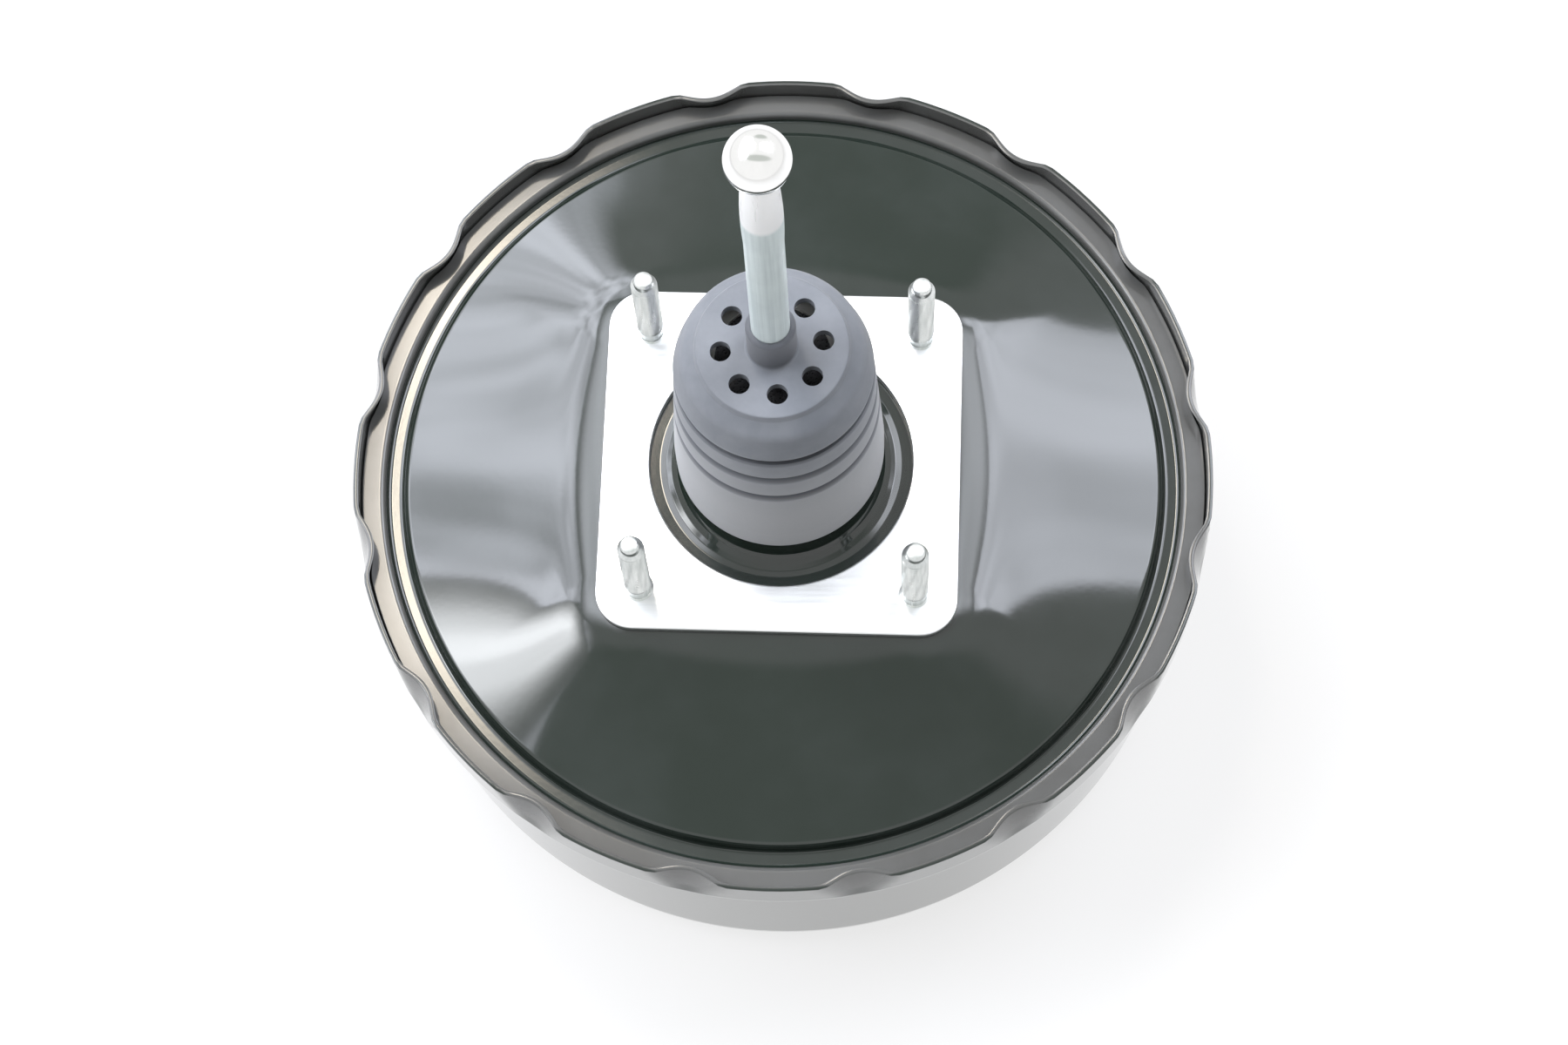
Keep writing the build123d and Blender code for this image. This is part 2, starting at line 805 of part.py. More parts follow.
def check_valve_cap():
    cap = at_valve(ring(0, can_radius, cap_end, can_split))
    foot = nipple_tip - nipple_length
    cap += rod_along_y(nipple_foot_radius, valve_radius, foot, nipple_height)
    cap += rod_along_y(nipple_radius, foot, nipple_tip - nipple_chamfer, nipple_height)
    tip = Cone(nipple_radius, nipple_radius - nipple_chamfer, nipple_chamfer, align=on_floor)
    cap += Pos(0, nipple_tip - nipple_chamfer, nipple_height) * Rot(-90, 0, 0) * tip
    cap -= at_valve(ring(0, can_radius + loose, can_split, valve_pad))
    cap -= at_valve(ring(0, can_bore, cap_end + can_wall, can_split + overrun))
    return cap - rod_along_y(nipple_bore, valve_radius, nipple_tip + overrun, nipple_height)


def lift_disc_top():
    return valve_pad - grommet_lip - can_wall - half * loose


def check_valve_disc():
    top = lift_disc_top()
    return at_valve(ring(0, lift_disc_radius, top - lift_disc_thickness, top))


def check_valve_spring():
    high = lift_disc_top() - lift_disc_thickness - half * loose
    low = cap_end + can_wall + half * loose
    coil = coil_spring(valve_spring_wire, valve_spring_coil, low, high, valve_spring_turns)
    return at_valve(coil)


makers = [
    front_shell, rear_shell, rear_mounting_plate, rear_studs, front_reinforcement_plate,
    master_cylinder_studs, front_seal, neck_bearing, neck_seal, seal_retainer, dust_boot,
    diaphragm, main_return_spring, check_valve_grommet, check_valve_body, check_valve_cap,
    check_valve_disc, check_valve_spring, valve_body, diaphragm_plate, reaction_disc,
    output_rod, output_rod_screw, output_rod_retainer, retaining_key, air_filter,
    filter_silencer, filter_retainer, poppet_valve, poppet_retainer, poppet_spring,
    valve_plunger, rod_return_spring, input_rod, pedal_ball, rod_spring_seat,
]

os.makedirs("parts", exist_ok=True)
for make in makers:
    export_step(make(), "parts/" + make.__name__ + ".step")
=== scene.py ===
import json
import math

import bmesh
import bpy
import numpy as np
from mathutils import Matrix, Vector


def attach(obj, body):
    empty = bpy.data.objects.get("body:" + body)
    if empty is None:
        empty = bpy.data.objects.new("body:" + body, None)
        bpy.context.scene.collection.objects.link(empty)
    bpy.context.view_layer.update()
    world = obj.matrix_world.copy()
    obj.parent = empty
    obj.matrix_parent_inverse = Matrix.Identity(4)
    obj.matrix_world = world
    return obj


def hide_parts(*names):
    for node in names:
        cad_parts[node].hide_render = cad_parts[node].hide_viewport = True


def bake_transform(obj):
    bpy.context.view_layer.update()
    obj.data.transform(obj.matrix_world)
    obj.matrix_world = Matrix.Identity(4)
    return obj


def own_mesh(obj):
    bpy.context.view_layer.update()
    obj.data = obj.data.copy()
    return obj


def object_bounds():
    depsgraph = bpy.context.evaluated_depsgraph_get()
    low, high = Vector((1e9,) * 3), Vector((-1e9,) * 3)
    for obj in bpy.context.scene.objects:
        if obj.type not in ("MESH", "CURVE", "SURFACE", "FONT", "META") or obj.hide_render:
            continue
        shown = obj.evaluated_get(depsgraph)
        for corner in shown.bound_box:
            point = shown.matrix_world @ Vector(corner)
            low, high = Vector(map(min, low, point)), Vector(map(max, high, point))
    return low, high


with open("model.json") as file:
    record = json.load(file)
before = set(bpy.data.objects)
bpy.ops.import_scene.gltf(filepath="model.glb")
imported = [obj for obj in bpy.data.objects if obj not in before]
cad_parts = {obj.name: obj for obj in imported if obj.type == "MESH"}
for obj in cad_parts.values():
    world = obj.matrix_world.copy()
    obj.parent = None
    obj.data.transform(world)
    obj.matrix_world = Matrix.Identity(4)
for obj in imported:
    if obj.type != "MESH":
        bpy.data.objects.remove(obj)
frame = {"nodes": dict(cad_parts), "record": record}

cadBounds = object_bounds()
mm = 0.001
weldDistance = 1e-6
print("frame loaded:", len(frame["nodes"]), "nodes")


def newObject(name, data):
    made = bpy.data.objects.new(name, data)
    bpy.context.scene.collection.objects.link(made)
    return made


# The camera stands where a pinhole camera fitted to the photograph stands.
camera = {
    "azimuth": 6.33,       # degrees, towards the right of straight on
    "elevation": 71.116,   # degrees above the floor
    "roll": -4.607,        # degrees
    "distance": 1.1,
    "lens": 82.9,          # millimetres
    "sensor": 36.0,
    "target": (0.0, 0.0, -0.009373),
    "shiftRight": 0.000658,
    "shiftUp": -0.015849,
    "nearest": 0.01,
    "farthest": 50.0,
}


def makeCamera(c):
    azimuth, elevation, roll = (math.radians(c[k]) for k in ("azimuth", "elevation", "roll"))
    back = Vector((
        math.sin(azimuth) * math.cos(elevation),
        -math.cos(azimuth) * math.cos(elevation),
        math.sin(elevation),
    ))
    level = Vector((math.cos(azimuth), math.sin(azimuth), 0))
    upright = back.cross(level)
    right = math.cos(roll) * level + math.sin(roll) * upright
    up = -math.sin(roll) * level + math.cos(roll) * upright
    place = Vector(c["target"]) + c["distance"] * back + c["shiftRight"] * right + c["shiftUp"] * up
    data = bpy.data.cameras.new("photoCamera")
    data.lens = c["lens"]
    data.sensor_width = c["sensor"]
    data.clip_start = c["nearest"]
    data.clip_end = c["farthest"]
    eye = newObject("photoCamera", data)
    turn = Matrix((right, up, back)).transposed().to_4x4()
    eye.matrix_world = Matrix.Translation(place) @ turn
    bpy.context.scene.camera = eye
    print("camera at", [round(x, 4) for x in place])


makeCamera(camera)


# Shader maths: a socket with the usual operators, and one method for any other node.
class Socket:
    def __init__(self, tree, socket):
        self.tree = tree
        self.socket = socket

    def make(self, kind, settings=None, **inputs):
        # an input goes by its label, with _ for a space, or by i and its number
        made = self.tree.nodes.new(kind)
        for key, value in (settings or {}).items():
            setattr(made, key, value)
        for key, value in inputs.items():
            label = int(key[1:]) if key[1:].isdigit() else key.replace("_", " ")
            if isinstance(value, Socket):
                self.tree.links.new(value.socket, made.inputs[label])
            else:
                made.inputs[label].default_value = value
        return made

    def out(self, kind, output=0, settings=None, **inputs):
        return Socket(self.tree, self.make(kind, settings, **inputs).outputs[output])

    def maths(self, operation, *values):
        inputs = {"i" + str(n): value for n, value in enumerate(values)}
        return self.out("ShaderNodeMath", 0, {"operation": operation}, **inputs)

    def __add__(self, other):
        return self.maths("ADD", self, other)

    def __radd__(self, other):
        return self.maths("ADD", other, self)

    def __sub__(self, other):
        return self.maths("SUBTRACT", self, other)

    def __rsub__(self, other):
        return self.maths("SUBTRACT", other, self)

    def __mul__(self, other):
        return self.maths("MULTIPLY", self, other)

    def __rmul__(self, other):
        return self.maths("MULTIPLY", other, self)

    def __pow__(self, other):
        return self.maths("POWER", self, other)

    def __gt__(self, other):
        return self.maths("GREATER_THAN", self, other)

    def size(self):
        # without its sign
        return self.maths("ABSOLUTE", self)

    def step(self, start, end):
        # 0 before start, 1 after end, an even S between them
        settings = {"interpolation_type": "SMOOTHSTEP"}
        return self.out("ShaderNodeMapRange", 0, settings, Value=self, From_Min=start, From_Max=end)

    def mix(self, first, second):
        # this socket as the factor between two colours, a Mix node's inputs 6 and 7
        return self.out("ShaderNodeMix", 2, {"data_type": "RGBA"}, i0=self, i6=first, i7=second)


def backgroundRays(start):
    # 1 for the rays that see the background: from the eye, from gloss and through glass
    rays = start.make("ShaderNodeLightPath")
    names = ("Is Camera Ray", "Is Glossy Ray", "Is Transmission Ray")
    seen, shine, through = (Socket(start.tree, rays.outputs[n]) for n in names)
    return seen.maths("MAXIMUM", seen, seen.maths("MAXIMUM", shine, through))


class Finish:
    # A material whose shader's own sockets hold what is the same all over.
    def __init__(self, name, **constants):
        self.material = bpy.data.materials.new(name)
        self.material.use_nodes = True
        self.tree = self.material.node_tree
        self.shader = self.tree.nodes["Principled BSDF"]
        for key, value in constants.items():
            self.shader.inputs[key.replace("_", " ")].default_value = value
        self.start = Socket(self.tree, None)
        self.place = self.start.out("ShaderNodeTexCoord", "Object")

    def noise(self, scale, detail=3.0, roughness=0.5, place=None):
        return self.start.out(
            "ShaderNodeTexNoise",
            Vector=place or self.place, Scale=scale, Detail=detail, Roughness=roughness,
        )

    def metalShade(self, lines, share, cloudScale=45.0):
        # drawn or ground lines, and soft clouds for the rest of the share
        return share * lines + (1 - share) * self.noise(cloudScale, roughness=0.6)

    def stretched(self, scale):
        return self.start.out("ShaderNodeMapping", Vector=self.place, Scale=scale)

    def parts(self):
        split = self.start.make("ShaderNodeSeparateXYZ", Vector=self.place)
        return [Socket(self.tree, output) for output in split.outputs]

    def height(self):
        return self.parts()[2]

    def radius(self):
        x, y = self.parts()[:2]
        return (x * x + y * y) ** 0.5

    def bump(self, height, strength, distance):
        return self.start.out("ShaderNodeBump", Height=height, Strength=strength, Distance=distance)

    def wire(self, **sockets):
        for key, value in sockets.items():
            self.tree.links.new(value.socket, self.shader.inputs[key.replace("_", " ")])
        return self.material


# Finishes. Their heights, radii and depths are in metres, and a scale is per metre.
clouding = 0.12             # how much rougher the darker patches of metal and rubber are
enamel = {
    "dark": (0.0105, 0.0165, 0.0125, 1),
    "dusty": (0.018, 0.0245, 0.021, 1),
    "dustScale": 23.0,
    "dustRough": 0.06,
    "rough": 0.07,
    "peelScale": 620.0,     # the fine ripple of sprayed enamel
    "peelDepth": 0.000012,
    "coat": 0.8,
    "flangeInside": 0.1212,
    "flangeOutside": 0.1304,
    "flangeFade": 0.0008,
    "flangeLow": -0.0185,
    "flangeLight": (0.094, 0.095, 0.092, 1),
    "flangeDark": (0.064, 0.064, 0.06, 1),
    "flangeDull": 0.1,
    "flangeCoatLoss": 0.2,
}


def blackEnamel(e):
    f = Finish("blackEnamel", Coat_Roughness=0.06, Coat_IOR=1.5, Specular_IOR_Level=0.35)
    dust = f.noise(e["dustScale"], detail=4.0, roughness=0.6).step(0.35, 0.75)
    peel = f.noise(e["peelScale"], detail=2.0, roughness=0.4)
    # the flange is only thinly coated: duller, and brownish grey
    radius = f.radius()
    inside = radius.step(e["flangeInside"], e["flangeInside"] + e["flangeFade"])
    outside = radius.step(e["flangeOutside"] - e["flangeFade"], e["flangeOutside"])
    flange = inside * (1 - outside) * (f.height() > e["flangeLow"])
    thick = dust.mix(e["dark"], e["dusty"])
    thin = dust.mix(e["flangeLight"], e["flangeDark"])
    return f.wire(
        Base_Color=flange.mix(thick, thin),
        Roughness=e["rough"] + e["dustRough"] * dust + e["flangeDull"] * flange,
        Coat_Weight=e["coat"] - e["flangeCoatLoss"] * flange,
        Normal=f.bump(peel, 0.6, e["peelDepth"]),
    )


drawnRod = {
    "light": (0.76, 0.84, 0.83, 1),
    "dark": (0.58, 0.65, 0.65, 1),
    "lineScale": 520.0,
    "lineStretch": (1.0, 1.0, 0.02),
    "lineDepth": 0.00003,
    "metal": 0.35,
    "rough": 0.34,
    "paintedHighlightFrom": 0.182,    # the end's painted highlight, near white, starts above this height
    "paintedHighlightTo": 0.185,
    # the colour of the painted highlight on the end
    "turned": (1.0, 1.0, 0.99, 1),
    "paintedHighlightMetalLoss": 0.1,
    "turnedGloss": 0.08,
}


def rodSteel(d):
    # dull and a little greenish, with drawing lines; the end is glossier and carries a painted
    # highlight, near white
    f = Finish("rodSteel")
    line = f.noise(d["lineScale"], roughness=0.55, place=f.stretched(d["lineStretch"]))
    shade = f.metalShade(line, 0.7).step(0.35, 0.65)
    # above this band the colour is a painted highlight over the glossier, polished end
    polishAndPaintedHighlight = f.height().step(d["paintedHighlightFrom"], d["paintedHighlightTo"])
    return f.wire(
        Base_Color=polishAndPaintedHighlight.mix(shade.mix(d["light"], d["dark"]), d["turned"]),
        Metallic=d["metal"] - d["paintedHighlightMetalLoss"] * polishAndPaintedHighlight,
        Roughness=d["rough"] + clouding * shade - d["turnedGloss"] * polishAndPaintedHighlight,
        Normal=f.bump(line * (1 - polishAndPaintedHighlight), 0.3, d["lineDepth"]),
    )


def platedSteel(name, light, dark, rough, grain, depth, stretch):
    f = Finish(name, Metallic=1.0)
    streak = f.noise(grain, roughness=0.55, place=f.stretched(stretch))
    shade = f.metalShade(streak, 0.6).step(0.3, 0.7)
    return f.wire(
        Base_Color=shade.mix(light, dark),
        Roughness=rough + clouding * shade,
        Normal=f.bump(streak, 0.35, depth),
    )


bootMarks = {
    "folds": (0.0499, 0.063, 0.0756),   # heights of the three grooves
    "foldInside": 0.0006,
    "foldOutside": 0.003,
    # painted shade in the grooves of the folds
    "paintedFoldShade": (0.085, 0.092, 0.105, 1),
    "noseFrom": 0.0942,
    "noseTo": 0.0955,
    "noseColour": (0.105, 0.112, 0.128, 1),
    # the foot is painted paler below this height as painted light, which fades out by the next height
    "paintedLightBelow": 0.03,
    "paintedLightEndsAbove": 0.085,
    # the paler colour of that painted light
    "dust": (0.36, 0.365, 0.38, 1),
}


def markedRubber(colour, height, m):
    # paler from its top down to its foot, which is painted light; painted shade in its folds; darker
    # on its nose
    # paler towards the foot: painted light
    colour = height.step(m["paintedLightBelow"], m["paintedLightEndsAbove"]).mix(m["dust"], colour)
    # painted shade in each fold's groove
    for fold in m["folds"]:
        gap = (height - fold).size()
        colour = gap.step(m["foldInside"], m["foldOutside"]).mix(m["paintedFoldShade"], colour)
    return height.step(m["noseFrom"], m["noseTo"]).mix(colour, m["noseColour"])


def rubberFinish(name, light, dark, rough, depth, marks=None):
    f = Finish(name, Specular_IOR_Level=0.35, Sheen_Weight=0.12, Sheen_Roughness=0.5)
    grain = f.noise(900.0, roughness=0.6)
    shade = f.noise(60.0, detail=4.0, roughness=0.6).step(0.3, 0.72)
    colour = shade.mix(light, dark)
    return f.wire(
        Base_Color=markedRubber(colour, f.height(), marks) if marks else colour,
        Roughness=rough + clouding * grain,
        Normal=f.bump(grain, 0.35, depth),
    )


def mouldedPlastic(name, light, dark, rough):
    f = Finish(name)
    cloud = f.noise(70.0)
    grain = f.noise(1500.0, detail=2.0)
    return f.wire(
        Base_Color=cloud.step(0.35, 0.7).mix(light, dark),
        Roughness=rough + 0.1 * cloud,
        Normal=f.bump(grain, 0.2, 0.00002),
    )


foam = {
    "cellScale": 1100.0,
    "cellDepth": 0.0004,
    "cell": (0.012, 0.012, 0.013, 1),
    "wall": (0.06, 0.06, 0.062, 1),
    "rough": 0.85,
}


def openFoam(s):
    f = Finish("openFoam", Sheen_Weight=0.3)
    cells = f.start.out("ShaderNodeTexVoronoi", Vector=f.place, Scale=s["cellScale"])
    wall = cells.step(0.1, 0.55)
    return f.wire(
        Base_Color=wall.mix(s["cell"], s["wall"]),
        Roughness=s["rough"] + 0.1 * wall,
        Normal=f.bump(wall, 0.9, s["cellDepth"]),
    )


along = (0.05, 1.0, 1.0)    # streaks drawn out along X
around = (1.0, 1.0, 0.08)   # and along the axis
finishes = {
    "black_enamel": blackEnamel(enamel),
    "zinc_plate": platedSteel(
        "zincPlate", (0.9, 0.91, 0.91, 1), (0.78, 0.8, 0.81, 1),
        rough=0.28, grain=700.0, depth=0.00001, stretch=along),
    "stud_steel": platedSteel(
        "studSteel", (0.82, 0.84, 0.83, 1), (0.6, 0.63, 0.62, 1),
        rough=0.25, grain=900.0, depth=0.00002, stretch=around),
    "plain_steel": platedSteel(
        "plainSteel", (0.58, 0.58, 0.57, 1), (0.42, 0.42, 0.42, 1),
        rough=0.35, grain=500.0, depth=0.00002, stretch=along),
    "spring_steel": platedSteel(
        "springSteel", (0.4, 0.4, 0.41, 1), (0.25, 0.25, 0.26, 1),
        rough=0.3, grain=600.0, depth=0.00002, stretch=along),
    "rod_steel": rodSteel(drawnRod),
    "ball_chrome": platedSteel(
        "ballChrome", (0.95, 0.95, 0.94, 1), (0.9, 0.9, 0.89, 1),
        rough=0.04, grain=300.0, depth=0.000002, stretch=around),
    "plunger_brass": platedSteel(
        "plungerBrass", (0.75, 0.6, 0.32, 1), (0.6, 0.46, 0.22, 1),
        rough=0.28, grain=700.0, depth=0.00002, stretch=around),
    "black_rubber": rubberFinish(
        "blackRubber", (0.035, 0.035, 0.036, 1), (0.022, 0.022, 0.023, 1),
        rough=0.55, depth=0.00004),
    "boot_rubber": rubberFinish(
        "bootRubber", (0.2, 0.213, 0.235, 1), (0.155, 0.168, 0.19, 1),
        rough=0.5, depth=0.00003, marks=bootMarks),
    "bearing_plastic": mouldedPlastic(
        "bearingPlastic", (0.75, 0.74, 0.7, 1), (0.66, 0.65, 0.6, 1), rough=0.4),
    "hub_plastic": mouldedPlastic(
        "hubPlastic", (0.8, 0.79, 0.74, 1), (0.7, 0.68, 0.6, 1), rough=0.4),
    "black_plastic": mouldedPlastic(
        "blackPlastic", (0.03, 0.03, 0.031, 1), (0.022, 0.022, 0.022, 1), rough=0.35),
    "filter_foam": openFoam(foam),
}
print("finishes:", len(finishes))


def dress(obj, slotName):
    obj.data.materials.clear()
    obj.data.materials.append(finishes[slotName])


for part in frame["record"]["subparts"]:
    dress(frame["nodes"][part["node"]], part["material_slot"])


# Surfaces. A piece is one or more grids of points in millimetres: rows run along a
# profile, columns run round it, and grids that close on themselves wrap.
def gridFaces(rows, columns, wrapRows, wrapColumns):
    row = np.arange(rows if wrapRows else rows - 1)
    column = np.arange(columns if wrapColumns else columns - 1)
    row, column = (a.ravel() for a in np.meshgrid(row, column, indexing="ij"))
    below = (row + 1) % rows
    beside = (column + 1) % columns
    corners = [(row, column), (below, column), (below, beside), (row, beside)]
    return np.stack([r * columns + c for r, c in corners], axis=1)


def turnedOutwards(points, faces):
    # the sum of the faces' cones to the origin is the volume: below zero means inside out
    a, b, c, d = (points[faces[:, k]] for k in range(4))
    volume = np.sum(np.cross(b, c) * a) + np.sum(np.cross(c, d) * a)
    return faces if volume > 0 else faces[:, ::-1]


def meshFromGrids(name, grids):
    # each grid is (points, wrapRows, wrapColumns)
    allPoints = []
    allFaces = []
    count = 0
    for points, wrapRows, wrapColumns in grids:
        rows, columns = points.shape[:2]
        flat = points.reshape(-1, 3)
        faces = turnedOutwards(flat, gridFaces(rows, columns, wrapRows, wrapColumns))
        allPoints.append(flat)
        allFaces.append(faces + count)
        count += len(flat)
    mesh = bpy.data.meshes.new(name)
    mesh.from_pydata((np.concatenate(allPoints) * mm).tolist(), [], np.concatenate(allFaces).tolist())
    work = bmesh.new()
    work.from_mesh(mesh)
    bmesh.ops.remove_doubles(work, verts=work.verts, dist=weldDistance)
    work.to_mesh(mesh)
    work.free()
    return mesh


def smooth(mesh, sharpAngle=32.0):
    mesh.shade_smooth()
    mesh.set_sharp_from_angle(angle=math.radians(sharpAngle))


def makePiece(name, slotName, nodes, grids, body=None, cutters=()):
    piece = newObject(name, meshFromGrids(name, grids))
    for step in cutters:
        combine(piece, *step)
    smooth(piece.data)
    dress(piece, slotName)
    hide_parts(*nodes)
    if body:
        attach(piece, body)
    return piece


def combine(piece, operation, grids, shaping=()):
    # an exact boolean with another closed surface, which may itself be shaped by booleans
    tool = newObject("tool", meshFromGrids("tool", grids))
    for step in shaping:
        combine(tool, *step)
    boolean = piece.modifiers.new("combine", "BOOLEAN")
    boolean.operation = operation
    boolean.solver = "EXACT"
    boolean.object = tool
    graph = bpy.context.evaluated_depsgraph_get()
    result = bpy.data.meshes.new_from_object(piece.evaluated_get(graph))
    piece.modifiers.clear()
    piece.data = result
    bpy.data.objects.remove(tool)


def roundAxis(radius, height, angles):
    # x is radius times cosine, and y is radius times sine
    return np.stack([radius * np.cos(angles), radius * np.sin(angles), height + 0 * angles], axis=2)


def turned(outline, angles, wrapRows=True):
    # every point of the outline (radius, height) goes round the axis
    outline = np.asarray(outline, float)
    return roundAxis(outline[:, :1], outline[:, 1:], angles), wrapRows, True


def evenAngles(count):
    return np.arange(count) * 2 * math.pi / count


def moved(grid, x, y, z=0.0):
    points, *wraps = grid
    return points + np.array([x, y, z]), *wraps


def cylinder(radius, low, high, count=64):
    outline = [(0, low), (radius, low), (radius, high), (0, high)]
    return turned(outline, evenAngles(count), False)


def roundedLine(corners, bends, steps=7, touching=1e-4):
    # Straight runs joined by arcs. Each arc touches both runs, and a point on it is the
    # centre plus the first and last spokes, each weighted by the sine of its far angle.
    corners = np.array(corners, float)
    parts = [corners[:1]]
    for before, corner, after, bend in zip(corners, corners[1:], corners[2:], bends):
        if bend == 0:
            parts.append(corner[None])
            continue
        back = (before - corner) / np.linalg.norm(before - corner)
        ahead = (after - corner) / np.linalg.norm(after - corner)
        halfAngle = math.acos(np.clip(back @ ahead, -1, 1)) / 2
        middle = (back + ahead) / np.linalg.norm(back + ahead)
        centre = corner + middle * bend / math.sin(halfAngle)
        reach = bend / math.tan(halfAngle)
        sweep = math.pi - 2 * halfAngle
        share = np.linspace(0, 1, steps)[:, None]
        first = np.sin((1 - share) * sweep) * (corner + back * reach - centre)
        last = np.sin(share * sweep) * (corner + ahead * reach - centre)
        parts.append(centre + (first + last) / math.sin(sweep))
    parts.append(corners[-1:])
    line = np.concatenate(parts)
    # arcs that touch share a point
    apart = np.linalg.norm(np.diff(line, axis=0), axis=1) > touching
    return line[np.concatenate([[True], apart])]


def supported(line, margin=0.35, longest=6.0):
    # long runs get a point near each end, so that an arc's shading stays on the arc
    parts = []
    for start, end in zip(line, line[1:]):
        length = np.linalg.norm(end - start)
        shares = [0.0]
        if length > 4 * margin:
            count = max(1, int(length / longest))
            shares += [margin / length]
            shares += list(np.arange(1, count) / count)
            shares += [1 - margin / length]
        parts.append(start + np.array(shares)[:, None] * (end - start))
    return np.concatenate(parts + [line[-1:]])


def sides(line, thickness):
    # both sides of a line: half the thickness away, where the runs' own offsets meet
    ahead = np.diff(line, axis=0)
    ahead /= np.linalg.norm(ahead, axis=1)[:, None]
    across = np.stack([-ahead[:, 1], ahead[:, 0]], axis=1)
    meet = np.concatenate([across[:1], across[:-1] + across[1:], across[-1:]])
    meet /= np.linalg.norm(meet, axis=1)[:, None]
    stretch = 1 / np.sum(meet * np.concatenate([across[:1], across]), axis=1)
    shift = meet * stretch[:, None] * thickness / 2
    return line + shift, line - shift


def cutEdge(first, last, inwards, edge, corner=0.3):
    # from one side of a sheet to the other at its end, with both corners taken off
    back = inwards / np.linalg.norm(inwards) * edge
    over = (last - first) / np.linalg.norm(last - first) * edge
    return np.array([
        first + back, first + corner * back + corner * over, first + over,
        last - over, last + corner * back - corner * over, last + back,
    ])


def band(line, thickness, edge=0.3):
    # a sheet of even thickness with slightly rounded cut edges, as one closed outline
    left, right = sides(line, thickness)
    end = cutEdge(left[-1], right[-1], line[-2] - line[-1], edge)
    start = cutEdge(right[0], left[0], line[1] - line[0], edge)
    return np.concatenate([left[1:-1], end, right[1:-1][::-1], start])


# The rim's crimps. The tool is a cone that widens upwards: its near side at angle a from
# a crimp's middle is D cos a - sqrt(r r - D D sin a sin a), D being its distance from the
# axis and r its radius at that height. A soft minimum rounds the shoulders.
rim = {
    "radius": 131.0,
    "lipTop": -9.4,
    "sheet": 1.6,
    "crimps": 16,
    "firstCrimp": 12.0,     # degrees from +X
    "toolPlace": 142.0,
    "toolLow": -22.0,
    "toolRadius": 10.6,
    "toolSlope": 0.3175,
    "shoulder": 3.0,
    "fadeLow": -24.5,
    "fadeHigh": -21.0,
    "columns": 24,          # for each crimp
    "spread": (0.35, 2.6),
}


def rimAngles():
    # columns stand closer together in the crimps: x, from -0.5 to 0.5 across a crimp, goes
    # to the first spread times x plus the second times x cubed
    x = (np.arange(rim["columns"]) + 0.5) / rim["columns"] - 0.5
    even, cubed = rim["spread"]
    spread = even * x + cubed * x ** 3
    whole = spread[None] + np.arange(rim["crimps"])[:, None]
    return math.radians(rim["firstCrimp"]) + whole.ravel() * 2 * math.pi / rim["crimps"]


def crimpDepth(height, angles):
    # how far the tool has pushed the rim in at each height and angle, in millimetres
    period = 2 * math.pi / rim["crimps"]
    local = (angles - math.radians(rim["firstCrimp"]) + period / 2) % period - period / 2
    tool = rim["toolRadius"] + rim["toolSlope"] * (height - rim["toolLow"])
    reach = rim["toolPlace"] * np.sin(local)
    near = rim["toolPlace"] * np.cos(local) - np.sqrt(np.clip(tool ** 2 - reach ** 2, 0, None))
    gap = near - rim["radius"]
    weight = np.clip(0.5 + 0.5 * gap / rim["shoulder"], 0, 1)
    pushed = gap * (1 - weight) - rim["shoulder"] * weight * (1 - weight)
    fade = np.clip((height - rim["fadeLow"]) / (rim["fadeHigh"] - rim["fadeLow"]), 0, 1)
    return pushed * fade * fade * (3 - 2 * fade)


def crimped(outline, angles, nearRim, levelled=None):
    # a turned outline whose radius is moved by the crimps where nearRim says so
    height = outline[:, 1:] if levelled is None else np.full((len(outline), 1), levelled)
    push = crimpDepth(height, angles[None]) * nearRim[:, None]
    return roundAxis(outline[:, :1] + push, outline[:, 1:], angles), True, True


frontShell = {
    "ledgeFace": -23.4,
    "bodyTop": 126.5,
    "bodyLow": 125.0,
    "shoulderFace": -104.2,
    "ringRadius": 86.0,
    "face": -106.0,
    "recessLow": 67.0,
    "recessTop": 59.0,
    "recessFace": -80.0,
    "bore": 19.5,
    "bends": (2.0, 2.0, 15.2, 6.0, 4.0, 4.0),
    "studPlace": 40.0,
    "studHole": 4.0,
    "pocketPlace": 106.0,
    "pocketRadius": 24.0,
    "pocketFloor": -84.0,
    "pocketColumns": 96,
    "cupShare": 0.9,        # of the sheet, so that the cup's foot ends inside it
    "cupColumns": 256,
    "grommetHole": 8.4,
    "over": 5.0,            # how far a cutting cylinder passes the sheet
    "longest": 4.0,
}


def pocketTools(s, middle):
    # What shapes the check valve's pocket: the pocket is cut out, and its cup is put in,
    # a wider cylinder kept inside the shell's own outside, less the pocket.
    sheet = rim["sheet"]
    low = s["face"] - s["over"]
    place = s["pocketPlace"]
    columns = s["pocketColumns"]
    pocket = moved(cylinder(s["pocketRadius"], low, s["pocketFloor"], columns), 0, place)
    wider = cylinder(s["pocketRadius"] + sheet, low, s["pocketFloor"] + sheet, columns)
    left, right = sides(middle, s["cupShare"] * sheet)
    outside = left if left[0, 0] > right[0, 0] else right
    outside = outside[outside[:, 1] < s["ledgeFace"] - 1.5 * sheet]
    filled = np.concatenate([[(0, outside[0, 1])], outside, [(0, outside[-1, 1])]])
    inside = turned(filled, evenAngles(s["cupColumns"]), False)
    cup = [("INTERSECT", [inside]), ("DIFFERENCE", [pocket])]
    return [("DIFFERENCE", [pocket]), ("UNION", [moved(wider, 0, place)], cup)]


